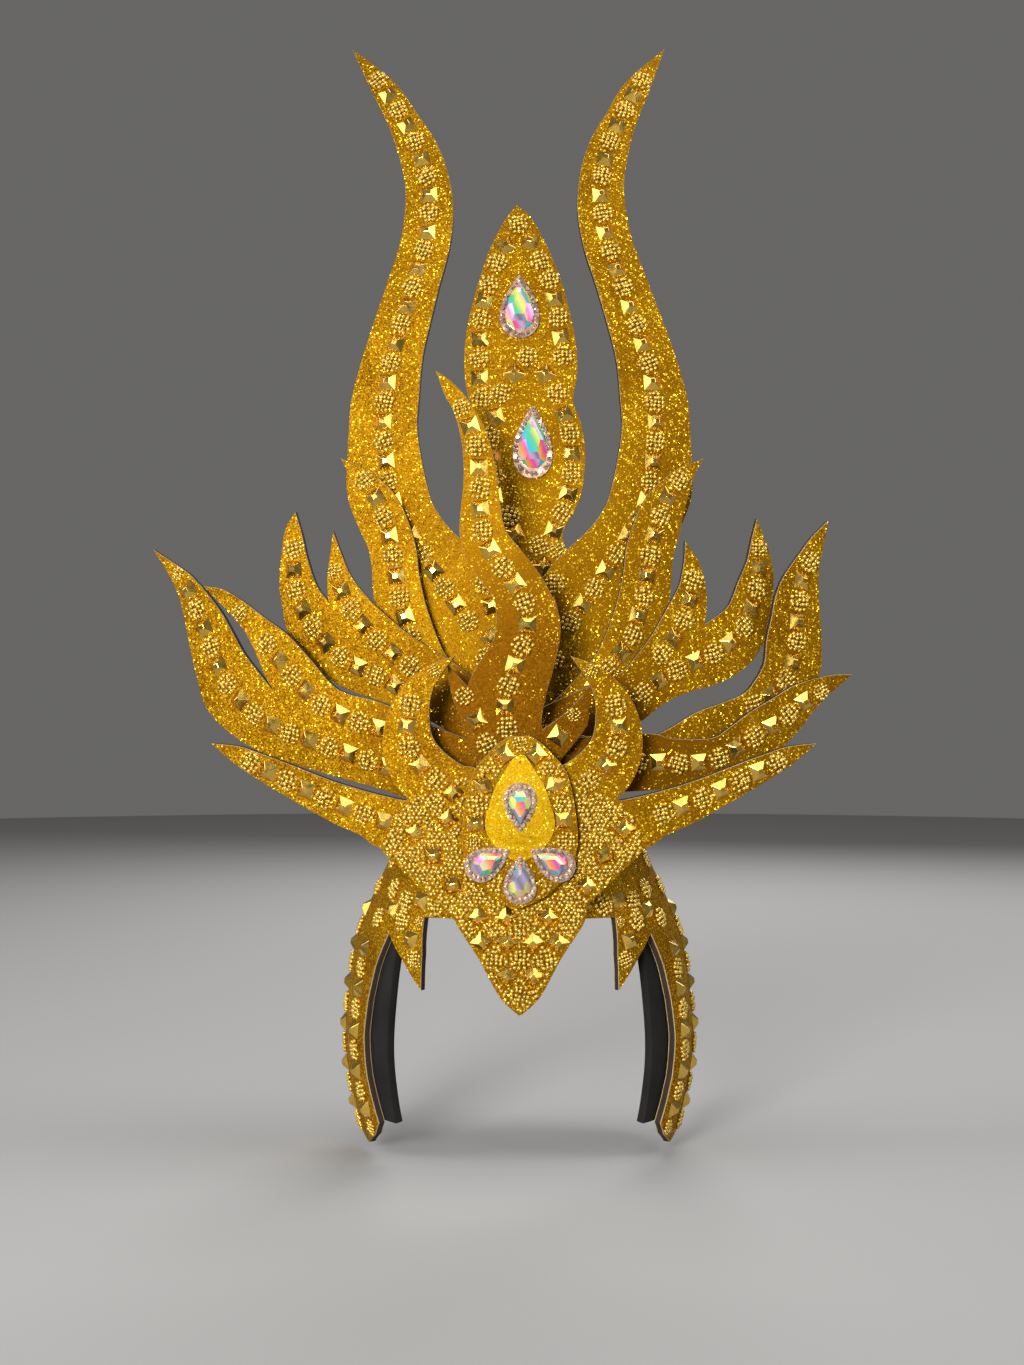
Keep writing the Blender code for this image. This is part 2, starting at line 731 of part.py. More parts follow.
def helmet_half_width(drop):
    """Half the helmet's outer width at a depth below the origin, read smoothly from its table."""
    share = min(max(drop / ARM_DROP, 0.0), 1.0)
    rows = HELMET_WIDTHS
    last = len(rows) - 1
    i = max(k for k in range(last) if rows[k][0] <= share)
    slopes = []
    for k in (i, i + 1):
        low, high = rows[max(k - 1, 0)], rows[min(k + 1, last)]
        slopes.append((high[1] - low[1]) / (high[0] - low[0]))
    span = rows[i + 1][0] - rows[i][0]
    t = (share - rows[i][0]) / span
    rise = rows[i + 1][1] - rows[i][1]
    bend = t * (1 - t) * ((1 - t) * (slopes[0] * span - rise) - t * (slopes[1] * span - rise))
    return HEAD_HALF_WIDTH * (rows[i][1] + rise * t + bend)


def helmet_face(u, z):
    """The outer face of the helmet: u is the angle from the front times the half depth."""
    turn = u / HEAD_HALF_DEPTH
    return Vector((helmet_half_width(-z) * math.sin(turn), -HEAD_HALF_DEPTH * math.cos(turn), z))


def band_half_width(drop):
    """Half the band's outer width: the helmet's inner face, which slopes, less a small gap."""
    small = 0.001
    slope = (helmet_half_width(drop + small) - helmet_half_width(drop - small)) / (2 * small)
    return helmet_half_width(drop) - (FOAM + 2 * GAP) * math.hypot(1.0, slope)


def band_face(u, y):
    """The outer face of the head band: u runs from the left arm over the crown to the right arm."""
    crown = band_half_width(CROWN_RISE)
    if abs(u) <= crown:
        turn = u / crown * math.pi / 2
        half, z = crown * math.sin(turn), BAND_FOAM - (CROWN_RISE + BAND_FOAM) * (1 - math.cos(turn))
    else:
        z = -CROWN_RISE - (abs(u) - crown)
        half = math.copysign(band_half_width(-z), u)
    narrow = math.sqrt(1 - (y / (HEAD_HALF_DEPTH - FOAM - 2 * GAP)) ** 2)
    return Vector((half * narrow, y, z))


def make_helmet(gold):
    half = [Vector((math.radians(turn) * HEAD_HALF_DEPTH, -down * ARM_DROP)) for turn, down in HELMET_ROWS]
    half.append(Vector((0.0, -HELMET_TOP_DROP)))
    mirrored = [Vector((-p.x, p.y)) for p in half[-2:0:-1]]
    both = [(math.radians(side * turn), -down, 0.0) for turn, down in HELMET_STUDS for side in (-1, 1)]
    studs = single_studs(both, HEAD_HALF_DEPTH, ARM_DROP)
    sheet("helmet", gold, helmet_face, [half + mirrored], studs, step=HEAD_BEND_STEP)


def make_head_band(black):
    end = band_half_width(CROWN_RISE) + BAND_DROP - CROWN_RISE
    wide, narrow = BAND_WIDE_SHARE * end, BAND_NARROW_SHARE * end
    half = [(end, -BAND_FRONT), (end, BAND_BACK), (wide, BAND_BACK), (narrow, BAND_TOP_BACK)]
    loop = [Vector(p) for p in half] + [Vector((-x, y)) for x, y in half[::-1]]
    sheet("head_band", black, band_face, [loop], thickness=BAND_FOAM, step=HEAD_BEND_STEP)


def make_spine_block(black):
    wide, low = BLOCK_HALF_WIDTH, BAND_FOAM + GAP
    loop = [Vector(corner) for corner in ((-wide, low), (wide, low), (wide, BLOCK_TOP), (-wide, BLOCK_TOP))]
    sheet("spine_block", black, stack_face(STACK.index("block")), [loop], thickness=BLOCK_DEPTH)


def make_front_plate(gold):
    body = both_halves(PLATE_ROWS, PLATE_HALF_WIDTH, PLATE_HEIGHT, PLATE_X, BROW_Z)
    point = both_halves(POINT_ROWS, POINT_HALF_WIDTH, POINT_HEIGHT, 0.0, POINT_FOOT_Z)
    flames = [body, point]
    rows = single_studs(PLATE_STUDS, PLATE_HALF_WIDTH, PLATE_HEIGHT, (PLATE_X, BROW_Z))
    rows += single_studs(POINT_STUDS, POINT_HALF_WIDTH, POINT_HEIGHT, (0.0, POINT_FOOT_Z))
    for side, spike_reach in ((-1, SPIKE_REACH_LEFT), (1, SPIKE_REACH_RIGHT)):
        spike = Flame(side, spike_reach, SPIKE_RISE, PLATE_X, SPIKE_FOOT_Z, SPIKE_ROWS)
        curl = Flame(side, CURL_REACH, CURL_RISE, PLATE_X, CURL_FOOT_Z, CURL_ROWS)
        flames += [spike, curl]
        rows += [Studs(spike, *SPIKE_STUDS), Studs(curl, *CURL_STUDS)]
    loops = [outline_of(flame) for flame in flames]
    rest = (-MIDDLE_PAD_HALF_WIDTH, MIDDLE_PAD_HALF_WIDTH, PLATE_PAD_Z)
    sheet("front_plate", gold, stack_face(0), loops, rows, [rest], covers=[outline_of(medallion_petal())])


def medallion_petal():
    return both_halves(MEDALLION_ROWS, MEDALLION_HALF_WIDTH, MEDALLION_HEIGHT, 0.0, MEDALLION_FOOT_Z)


def make_medallion(gold):
    studs = single_studs(MEDALLION_STUDS, MEDALLION_HALF_WIDTH, MEDALLION_HEIGHT, (0.0, MEDALLION_FOOT_Z))
    stones = [teardrop(middle, PETAL_CRYSTAL, turn) for _, middle, turn in petal_places()]
    sheet("medallion", gold, stack_face(-1), [outline_of(medallion_petal())], studs, covers=stones)


def stack_sheet(name, gold, layer, side, reach, rise, tables, studs, face=None, singles=(), covers=()):
    """One sheet of the stack. Its flames share a foot at the hub.

    side is -1 or 1 for a sheet of a pair, which keeps to its own side, and 0 for one across the middle.
    """
    flames = [Flame(side or 1, reach, rise, 0.0, HUB_Z, rows) for rows in tables]
    loops = [outline_of(flame) for flame in flames]
    if STACK.index(layer) >= STACK.index(FIRST_OVER_BAND):
        lowest = BAND_FOAM + GAP + ROOT_CLEARANCE
        loops = [[Vector((p.x, max(p.y, lowest))) for p in loop] for loop in loops]
    rows = single_studs(singles, reach, rise, (0.0, HUB_Z))
    rows += [Studs(flames[which], across, first, count) for which, across, first, count in studs]
    middle = (-MIDDLE_PAD_HALF_WIDTH, MIDDLE_PAD_HALF_WIDTH)
    low, high = sorted((side * PAD_INSIDE, side * PAD_OUTSIDE)) if side else middle
    place = face or stack_face(STACK.index(layer))
    sheet(name, gold, place, loops, rows, [(low, high, PAD_Z)], covers=covers)


def make_flames(gold):
    stack_sheet(
        "centre_flame", gold, "centre", 0, CENTRE_REACH, CENTRE_RISE,
        (CENTRE_ROWS, CENTRE_LEFT_ROWS, CENTRE_RIGHT_ROWS), CENTRE_STUDS,
    )
    stack_sheet(
        "lower_wing_left", gold, "lower", -1, LOWER_LEFT_REACH, LOWER_LEFT_RISE,
        (LOWER_LEFT_A, LOWER_LEFT_B), LOWER_LEFT_STUDS,
    )
    stack_sheet(
        "lower_wing_right_front", gold, "lower", 1, LOWER_FRONT_REACH, LOWER_FRONT_RISE,
        (LOWER_FRONT_ROWS,), LOWER_FRONT_STUDS,
    )
    stack_sheet(
        "lower_wing_right_back", gold, "lower back", 0, LOWER_BACK_REACH, LOWER_BACK_RISE,
        (LOWER_BACK_ROWS,), LOWER_BACK_STUDS,
    )
    stack_sheet(
        "upper_wing_left", gold, "upper", -1, UPPER_LEFT_REACH, UPPER_LEFT_RISE,
        (UPPER_LEFT_A, UPPER_LEFT_B), UPPER_LEFT_STUDS,
    )
    stack_sheet(
        "upper_wing_right", gold, "upper", 1, UPPER_RIGHT_REACH, UPPER_RIGHT_RISE,
        (UPPER_RIGHT_A, UPPER_RIGHT_B), UPPER_RIGHT_STUDS,
    )
    stack_sheet("mid_flame_left", gold, "mid", -1, MID_REACH_LEFT, MID_RISE, (MID_ROWS,), MID_STUDS)
    stack_sheet("mid_flame_right", gold, "mid", 1, MID_REACH_RIGHT, MID_RISE, (MID_ROWS,), MID_STUDS)
    face = leaning(stack_face(STACK.index("horns")))
    for name, side in (("horn_left", -1), ("horn_right", 1)):
        stack_sheet(name, gold, "horns", side, HORN_REACH, HORN_RISE, (HORN_ROWS,), HORN_STUDS, face)
    stones = [teardrop(middle, size, 0.0) for _, middle, size in leaf_places()]
    stack_sheet(
        "leaf", gold, "leaf", 0, LEAF_HALF_WIDTH, LEAF_RISE,
        (LEAF_ROWS,), LEAF_BORDERS, singles=LEAF_STUDS, covers=stones,
    )


def leaning(face):
    """The face with its upper part moved sideways, as the tall pair leans to the wearer's right."""

    def place(x, z):
        up = max(z - HUB_Z - HORN_RISE / 2, 0.0) / (HORN_RISE / 2)
        point = face(x, z)
        return Vector((point.x - HORN_LEAN * up**LEAN_POWER, point.y, point.z))

    return place


def teardrop(middle, size, turn, scale=1.0):
    """The outline of a teardrop. Its point is at the top before the turn."""
    width, length = size
    loop = []
    for i in range(CRYSTAL_SIDES):
        angle = 2 * math.pi * (i + 0.5) / CRYSTAL_SIDES
        aside = -width / 2 * scale * math.sin(angle) * math.sin(angle / 2) / TEARDROP_WIDEST
        ahead = length / 2 * scale * math.cos(angle)
        loop.append(middle + Matrix.Rotation(turn, 2) @ Vector((aside, ahead)))
    return loop


def crystal(name, shade, layer, middle, size, turn):
    """A faceted teardrop with a table, fused to its rim, that lies on a sheet's front."""
    face = stack_face(layer)
    centre = lift(face, *middle, GAP)
    across = (face(middle.x + GAP, middle.y) - face(middle.x - GAP, middle.y)).normalized()
    out = (lift(face, *middle, 2 * GAP) - centre).normalized()
    up = out.cross(across)
    inner = 1 - 2 * RIM_WIDTH / size[0]
    levels = (
        (1.0, 0.0),
        (1.0, RIM_HEIGHT),
        (inner, RIM_HEIGHT),
        (inner, RIM_HEIGHT / 2),
        (inner * CRYSTAL_TABLE, CRYSTAL_HEIGHT),
    )
    shape = bmesh.new()
    rings = []
    for scale, height in levels:
        flat = teardrop(Vector((0, 0)), size, turn, scale)
        rings.append([shape.verts.new(centre + across * p.x + up * p.y + out * height) for p in flat])
    for low, high in zip(rings, rings[1:]):
        for i in range(CRYSTAL_SIDES):
            j = (i + 1) % CRYSTAL_SIDES
            shape.faces.new((low[i], low[j], high[j], high[i]))
    shape.faces.new(rings[-1])
    shape.faces.new(rings[0][::-1])
    finish(name, shape, shade)


def petal_places():
    """Name, middle and turn of the four crystals whose points meet on the medallion."""
    for name, bearing in PETAL_BEARINGS:
        angle = math.radians(bearing)
        middle = Vector((math.cos(angle), math.sin(angle))) * PETAL_RADIUS + Vector((0.0, PETAL_CENTRE_Z))
        yield "petal_crystal_" + name, middle, angle + math.pi / 2


def leaf_places():
    """Name, middle and size of the two crystals on the leaf."""
    yield "leaf_crystal_upper", Vector((0.0, HUB_Z + UPPER_CRYSTAL_UP * LEAF_RISE)), UPPER_CRYSTAL
    lower = Vector((LOWER_CRYSTAL_OUT * LEAF_HALF_WIDTH, HUB_Z + LOWER_CRYSTAL_UP * LEAF_RISE))
    yield "leaf_crystal_lower", lower, LOWER_CRYSTAL


def make_crystals(glass):
    for name, middle, size in leaf_places():
        crystal(name, glass, STACK.index("leaf"), middle, size, 0.0)
    for name, middle, turn in petal_places():
        crystal(name, glass, -1, middle, PETAL_CRYSTAL, turn)


clear_scene()
gold_glitter = material("gold glitter", (0.71, 0.42, 0.03), 0.45, 0.6)
black_foam = material("black foam", (0.02, 0.018, 0.018), 0.9, 0.0)
iridescent = material("iridescent crystal", (0.85, 0.75, 0.9), 0.05, 0.3)
make_helmet(gold_glitter)
make_head_band(black_foam)
make_spine_block(black_foam)
make_front_plate(gold_glitter)
make_medallion(gold_glitter)
make_flames(gold_glitter)
make_crystals(iridescent)
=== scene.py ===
import math
import random
from collections import namedtuple

import bmesh
import bpy
from mathutils import Matrix, Vector
from mathutils.geometry import delaunay_2d_cdt, intersect_point_line


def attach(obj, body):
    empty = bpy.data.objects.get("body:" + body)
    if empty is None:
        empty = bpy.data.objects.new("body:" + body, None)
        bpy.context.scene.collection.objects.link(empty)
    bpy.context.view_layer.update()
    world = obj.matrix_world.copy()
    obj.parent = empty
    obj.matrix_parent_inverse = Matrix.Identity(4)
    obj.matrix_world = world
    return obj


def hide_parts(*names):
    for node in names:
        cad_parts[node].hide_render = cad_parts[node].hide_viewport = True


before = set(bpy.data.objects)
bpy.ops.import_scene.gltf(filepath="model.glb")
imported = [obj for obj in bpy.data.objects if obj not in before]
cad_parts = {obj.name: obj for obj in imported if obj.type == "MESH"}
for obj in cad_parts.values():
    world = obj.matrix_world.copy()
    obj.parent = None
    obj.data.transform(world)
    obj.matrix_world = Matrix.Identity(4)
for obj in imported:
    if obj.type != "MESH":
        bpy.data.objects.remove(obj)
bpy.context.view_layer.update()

# Head band: a strip of thick black foam that goes over the head and down inside both arms.
# It is cut flat from a sheet, and its bare foam shows at the front between the arms and the head.
BAND_FOAM = 0.005
FOAM = 0.0045
GAP = 0.0003
HEAD_HALF_WIDTH = 0.102
HEAD_HALF_DEPTH = 0.095
ARM_DROP = 0.200
CROWN_RISE = 0.020
BAND_DROP = 0.184
BAND_FRONT = 0.058
BAND_BACK = 0.016
BAND_TOP_BACK = 0.010
BAND_WIDE_SHARE = 0.46
BAND_NARROW_SHARE = 0.25
HELMET_WIDTHS = (
    (0.0, 0.66), (0.1, 0.69), (0.19, 0.74), (0.29, 0.83), (0.42, 0.93), (0.59, 0.985), (0.73, 1.0),
    (0.87, 0.965), (1.0, 0.9),
)
UP = Vector((0.0, 1.0))
rng = random.Random(11)


def helmet_half_width(drop):
    """Half the helmet's outer width at a depth below the crown."""
    share = min(max(drop / ARM_DROP, 0.0), 1.0)
    rows = HELMET_WIDTHS
    last = len(rows) - 1
    i = max(k for k in range(last) if rows[k][0] <= share)
    slopes = []
    for k in (i, i + 1):
        low, high = rows[max(k - 1, 0)], rows[min(k + 1, last)]
        slopes.append((high[1] - low[1]) / (high[0] - low[0]))
    span = rows[i + 1][0] - rows[i][0]
    t = (share - rows[i][0]) / span
    rise = rows[i + 1][1] - rows[i][1]
    bend = t * (1 - t) * ((1 - t) * (slopes[0] * span - rise) - t * (slopes[1] * span - rise))
    return HEAD_HALF_WIDTH * (rows[i][1] + rise * t + bend)


def band_half_width(drop):
    small = 0.001
    slope = (helmet_half_width(drop + small) - helmet_half_width(drop - small)) / (2 * small)
    return helmet_half_width(drop) - (FOAM + 2 * GAP) * math.hypot(1.0, slope)


def band_face(u, y):
    """The band's outer face: u runs from the left arm over the crown to the right arm."""
    crown = band_half_width(CROWN_RISE)
    if abs(u) <= crown:
        turn = u / crown * math.pi / 2
        half, z = crown * math.sin(turn), BAND_FOAM - (CROWN_RISE + BAND_FOAM) * (1 - math.cos(turn))
    else:
        z = -CROWN_RISE - (abs(u) - crown)
        half = math.copysign(band_half_width(-z), u)
    narrow = math.sqrt(1 - (y / (HEAD_HALF_DEPTH - FOAM - 2 * GAP)) ** 2)
    return Vector((half * narrow, y, z))


def lift(face, u, v, height):
    """The point of a curved face at (u, v), moved out along its normal."""
    small = 1e-4
    along_u = face(u + small, v) - face(u - small, v)
    along_v = face(u, v + small) - face(u, v - small)
    return face(u, v) + along_u.cross(along_v).normalized() * height


def node_tree(name, roughness, metallic):
    """A new material and its shader, with a function that adds a node and one that links the shader."""
    shade = bpy.data.materials.new(name)
    shade.use_nodes = True
    tree = shade.node_tree
    surface = tree.nodes["Principled BSDF"]
    surface.inputs["Roughness"].default_value = roughness
    surface.inputs["Metallic"].default_value = metallic

    def add(kind, links=(), **settings):
        node = tree.nodes.new("ShaderNode" + kind)
        for key, value in settings.items():
            if key.startswith("in_"):
                node.inputs[int(key[3:])].default_value = value
            else:
                setattr(node, key, value)
        for source, socket in links:
            tree.links.new(source, node.inputs[socket])
        return node

    def wire(colour, normal=None, gloss=None):
        for source, socket in ((colour, "Base Color"), (normal, "Normal"), (gloss, "Roughness")):
            if source:
                tree.links.new(source, surface.inputs[socket])

    return shade, surface, add, wire


def ramp(node, stops):
    """Sets the colour stops of a ramp."""
    elements = node.color_ramp.elements
    while len(elements) > 1:
        elements.remove(elements[-1])
    elements[0].position, elements[0].color = stops[0][0], (*stops[0][1], 1)
    for place, colour in stops[1:]:
        elements.new(place).color = (*colour, 1)


def foam_material(name, dark, light):
    """Cut foam: matt, with fine pores and a slightly uneven colour."""
    shade, surface, add, wire = node_tree(name, 0.9, 0.0)
    surface.inputs["Specular IOR Level"].default_value = 0.2
    place = add("TexCoord").outputs["Object"]
    pores = add("TexNoise", [(place, "Vector")], in_2=2200, in_3=3)
    cloud = add("TexNoise", [(place, "Vector")], in_2=60, in_3=4)
    mix = add("Math", [(pores.outputs["Fac"], 0), (cloud.outputs["Fac"], 1)], operation="ADD")
    half = add("Math", [(mix.outputs[0], 0)], operation="MULTIPLY", in_1=0.5)
    tone = add("ValToRGB", [(half.outputs[0], "Fac")])
    ramp(tone, ((0.3, dark), (0.7, light)))
    bump = add("Bump", [(pores.outputs["Fac"], "Height")], in_0=0.5, in_1=0.0003)
    wire(tone.outputs["Color"], bump.outputs["Normal"])
    return shade


def united(outlines):
    """One flat face with the united outline of all the outlines."""
    corners = [point for line in outlines for point in line]
    loops, start = [], 0
    for line in outlines:
        loops.append(list(range(start, start + len(line))))
        start += len(line)
    flat, _, cells, _, _, _ = delaunay_2d_cdt(corners, [], loops, 1, 1e-6)
    shape = bmesh.new()
    verts = [shape.verts.new((p.x, p.y, 0)) for p in flat]
    for cell in cells:
        shape.faces.new([verts[i] for i in cell])
    bmesh.ops.dissolve_faces(shape, faces=shape.faces[:])
    bmesh.ops.delete(shape, geom=[v for v in shape.verts if not v.link_faces], context="VERTS")
    return shape


def grid_cuts(shape, cell):
    """Cuts a flat shape along a square grid, so that it can bend."""
    for axis in (0, 1):
        ends = [v.co[axis] for v in shape.verts]
        normal = Vector((0, 0, 0))
        normal[axis] = 1
        for step in range(math.floor(min(ends) / cell) + 1, math.ceil(max(ends) / cell)):
            everything = shape.verts[:] + shape.edges[:] + shape.faces[:]
            cut = normal * (step + 0.003) * cell
            bmesh.ops.bisect_plane(shape, geom=everything, dist=1e-7, plane_co=cut, plane_no=normal)


def linked(name, data):
    """A new object in the scene."""
    thing = bpy.data.objects.new(name, data)
    bpy.context.collection.objects.link(thing)
    return thing


def finished(name, shape, shades, corner=28):
    """Makes the object, smooth apart from the edges that turn by more than the corner's degrees."""
    mesh = bpy.data.meshes.new(name)
    shape.to_mesh(mesh)
    shape.free()
    for shade in shades:
        mesh.materials.append(shade)
    for polygon in mesh.polygons:
        polygon.use_smooth = True
    mesh.set_sharp_from_angle(angle=math.radians(corner))
    piece = linked(name, mesh)
    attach(piece, "root")
    return piece


def cut_sheet(name, outlines, face, thickness, shades, cell, skin=0.0006, pads=()):
    """Cuts a sheet to its outlines, gives both its faces a chamfered skin, and bends it onto the face.

    shades are those of the front, the edge of the skins, and the foam. Pads are blocks on the back.
    """
    shape = united(outlines)
    front = shape.faces[:]
    made = bmesh.ops.extrude_face_region(shape, geom=front)
    lowered = [v for v in made["geom"] if isinstance(v, bmesh.types.BMVert)]
    bmesh.ops.translate(shape, vec=(0, 0, 2 * skin - thickness), verts=lowered)
    bmesh.ops.translate(shape, vec=(0, 0, -skin), verts=shape.verts[:])
    bmesh.ops.recalc_face_normals(shape, faces=shape.faces[:])
    for part in shape.faces:
        part.material_index = 2
    ends = sorted(shape.faces, key=lambda f: f.calc_center_median().z)
    for end_face in (ends[0], ends[-1]):
        made = bmesh.ops.inset_region(
            shape, faces=[end_face], thickness=skin * 0.3, depth=skin, use_even_offset=True,
        )
        for part in made["faces"]:
            part.material_index = 1
    ends[-1].material_index = 0
    for low, high, middle, deep in pads:
        place = Matrix.Translation(((low + high) / 2, middle, -thickness - deep / 2 + GAP))
        size = Matrix.Diagonal((high - low, 2 * PAD_HALF_HEIGHT, deep + 2 * GAP, 1))
        made = bmesh.ops.create_cube(shape, size=1.0, matrix=place @ size)
        for part in {f for v in made["verts"] for f in v.link_faces}:
            part.material_index = 2
    grid_cuts(shape, cell)
    for vert in shape.verts:
        vert.co = lift(face, *vert.co)
    return finished(name, shape, shades)


black_foam = foam_material("black foam", (0.007, 0.006, 0.006), (0.019, 0.017, 0.016))
end = band_half_width(CROWN_RISE) + BAND_DROP - CROWN_RISE
wide, narrow = BAND_WIDE_SHARE * end, BAND_NARROW_SHARE * end
half = [(end, -BAND_FRONT), (end, BAND_BACK), (wide, BAND_BACK), (narrow, BAND_TOP_BACK)]
band_outline = [Vector(p) for p in half] + [Vector((-x, y)) for x, y in half[::-1]]
band = cut_sheet("black_band", [band_outline], band_face, BAND_FOAM, [black_foam] * 3, 0.005)
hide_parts("head_band")

# Helmet: brow band, two temple spikes and two long side arms, cut from one sheet of foam.
# Its front is faced with gold glitter vinyl, whose pale backing shows as a line along every cut edge.
# Square pyramid studs and rounded patches of tiny beads are glued on in two columns down each arm.
HELMET_TOP_DROP = 0.015
STUD_SIDE = 0.0096
STUD_TABLE = 0.0026
STUD_HEIGHT = 0.0034
STUD_EDGE = 0.0005
STUD_SUNK = 0.0001
STUD_BEVEL = 0.00015
BEAD = 0.0023
PATCH_HALF = 0.0058
HUB_Z = 0.021
PATCH_APART = 0.0098
NARROWEST = 0.0028
DOME_HEIGHT = 0.0009
# Painted shade: the dark tone that the glitter is painted towards near the hub.
HUB_SHADE_TONE = (0.165, 0.06, 0.0005, 1)
HELMET_ROWS = (
    (0.0, 0.325), (37.0, 0.33), (34.5, 0.43), (33.5, 0.53), (43.0, 0.45), (52.5, 0.385), (56.5, 0.48),
    (59.0, 0.58), (60.0, 0.68), (59.0, 0.8), (56.0, 0.925), (61.0, 0.965), (70.0, 1.0), (88.0, 0.96),
    (99.0, 0.82), (104.0, 0.64), (105.0, 0.42), (102.0, 0.24), (92.0, 0.12), (60.0, 0.075),
)
HELMET_STUDS = (
    (25.0, 0.288), (40.5, 0.288), (55.0, 0.32), (40.5, 0.395), (66.5, 0.44), (66.5, 0.554), (67.0, 0.673),
    (66.5, 0.79), (63.5, 0.895), (84.0, 0.34), (84.0, 0.44), (84.0, 0.554), (84.0, 0.673), (84.0, 0.79),
    (80.0, 0.895),
)
HELMET_BEADS = (
    (17.5, 0.29), (32.7, 0.295), (48.0, 0.292), (38.5, 0.343), (37.2, 0.447), (35.2, 0.49), (62.5, 0.35),
    (59.0, 0.265), (52.0, 0.352), (73.0, 0.19), (46.5, 0.345), (36.2, 0.478), (66.5, 0.386), (66.5, 0.497),
    (67.0, 0.613), (67.0, 0.731), (65.0, 0.845), (62.5, 0.945), (78.0, 0.27), (84.0, 0.39), (84.0, 0.497),
    (84.0, 0.613), (84.0, 0.731), (82.0, 0.845), (77.0, 0.945),
)


def glitter_material(name, ground, flash, most, hub_shade=(0.0, 0.001)):
    """Glitter vinyl: an amber ground of metal dust, with scattered flakes that flash as each leans its way.

    ground holds the darkest and the lightest tone of the dust, flash that of the flakes, and most the share
    of the places without one. From the second of the hub_shade distances to the first, measured from the hub,
    the vinyl is painted darker and with fewer flakes: painted shade near the hub, where the sheets lie close.
    """
    shade, surface, add, wire = node_tree(name, 0.5, 0.62)
    surface.inputs["Specular Tint"].default_value = (1.0, 0.72, 0.22, 1)
    surface.inputs["Specular IOR Level"].default_value = 0.25
    place = add("TexCoord").outputs["Object"]
    flakes = add("TexVoronoi", [(place, "Vector")], in_2=1050.0)
    dust = add("TexVoronoi", [(place, "Vector")], in_2=1700.0)
    cloud = add("TexNoise", [(place, "Vector")], in_2=30.0, in_3=4)
    parts = add("SeparateColor", [(flakes.outputs["Color"], 0)])
    fine = add("SeparateColor", [(dust.outputs["Color"], 0)])
    # Painted shade near the hub: a mask that grows from the second hub_shade distance in to the first.
    flat = add("VectorMath", [(place, 0)], operation="MULTIPLY", in_1=(1.0, 0.0, 1.0))
    away = add("VectorMath", [(flat.outputs[0], 0)], operation="DISTANCE", in_1=(0.0, 0.0, HUB_Z))
    near_hub_shade = add("MapRange", [(away.outputs["Value"], 0)], in_1=hub_shade[1], in_2=hub_shade[0])
    level = add("Math", [(fine.outputs[0], 0), (cloud.outputs["Fac"], 1)], operation="ADD")
    share = add("MapRange", [(level.outputs[0], 0)], in_1=0.35, in_2=1.65)
    tone = add("ValToRGB", [(share.outputs[0], "Fac")])
    ramp(tone, ((0.0, ground[0]), (1.0, ground[1])))
    # Painted shade: near the hub the ground is mixed towards the dark tone, and the flakes thin out there.
    hub_shaded_tone = add("Mix", [(near_hub_shade.outputs[0], 0), (tone.outputs["Color"], 6)], data_type="RGBA", in_7=HUB_SHADE_TONE)
    ends = {"in_3": most + 0.14, "in_4": most - 0.14}
    scarce = add("MapRange", [(cloud.outputs["Fac"], 0)], in_1=0.3, in_2=0.7, **ends)
    limit = add("Math", [(near_hub_shade.outputs[0], 0), (scarce.outputs[0], 2)], operation="MULTIPLY_ADD", in_1=0.28)
    picked = add("Math", [(parts.outputs[1], 0), (limit.outputs[0], 1)], operation="GREATER_THAN")
    near = add("Math", [(flakes.outputs["Distance"], 0)], operation="LESS_THAN", in_1=0.44)
    lit = add("Math", [(picked.outputs[0], 0), (near.outputs[0], 1)], operation="MULTIPLY").outputs[0]
    shine = add("Mix", [(lit, 0), (hub_shaded_tone.outputs[2], 6)], data_type="RGBA", in_7=(*flash, 1))
    gloss = add("MapRange", [(lit, 0)], in_3=0.58, in_4=0.28)
    reach = add("MapRange", [(lit, 0)], in_3=0.34, in_4=0.95)
    leanings = [(lit, 0), (dust.outputs["Color"], 6), (flakes.outputs["Color"], 7)]
    mixed = add("Mix", leanings, data_type="RGBA")
    tilt = add("VectorMath", [(mixed.outputs[2], 0)], operation="SUBTRACT", in_1=(0.5, 0.5, 0.5))
    scaled = add("VectorMath", [(tilt.outputs[0], 0), (reach.outputs[0], "Scale")], operation="SCALE")
    normal = add("NewGeometry").outputs["Normal"]
    total = add("VectorMath", [(scaled.outputs[0], 0), (normal, 1)], operation="ADD")
    unit = add("VectorMath", [(total.outputs[0], 0)], operation="NORMALIZE")
    wire(shine.outputs[2], unit.outputs[0], gloss.outputs[0])
    return shade


def metal_material(name, colour, roughness, metallic, grain=260, darkest=0.8):
    """Plated plastic: bright, a little cloudy and uneven."""
    shade, _, add, wire = node_tree(name, roughness, metallic)
    place = add("TexCoord").outputs["Object"]
    cloud = add("TexNoise", [(place, "Vector")], in_2=grain, in_3=3)
    tone = add("ValToRGB", [(cloud.outputs["Fac"], "Fac")])
    ramp(tone, ((0.35, tuple(c * darkest for c in colour)), (0.65, colour)))
    ends = {"in_3": roughness * 0.7, "in_4": roughness * 1.5}
    wear = add("MapRange", [(cloud.outputs["Fac"], 0)], in_1=0.3, in_2=0.7, **ends)
    bump = add("Bump", [(cloud.outputs["Fac"], "Height")], in_0=0.2, in_1=0.0003)
    wire(tone.outputs["Color"], bump.outputs["Normal"], wear.outputs[0])
    return shade


def helmet_face(u, z):
    """The helmet's outer face: u is the angle from the front times the half depth."""
    turn = u / HEAD_HALF_DEPTH
    return Vector((helmet_half_width(-z) * math.sin(turn), -HEAD_HALF_DEPTH * math.cos(turn), z))


def set_on(face, place, along, height=0.0):
    """The matrix that sets a small piece on a face, with its y axis along the direction."""
    base = lift(face, *place, height)
    out = (lift(face, *place, height + 0.001) - base).normalized()
    ahead = face(*(place + along * 0.001)) - face(*place)
    across = ahead.cross(out).normalized()
    turn = Matrix((across, out.cross(across), out)).transposed()
    return Matrix.Translation(base) @ turn.to_4x4()


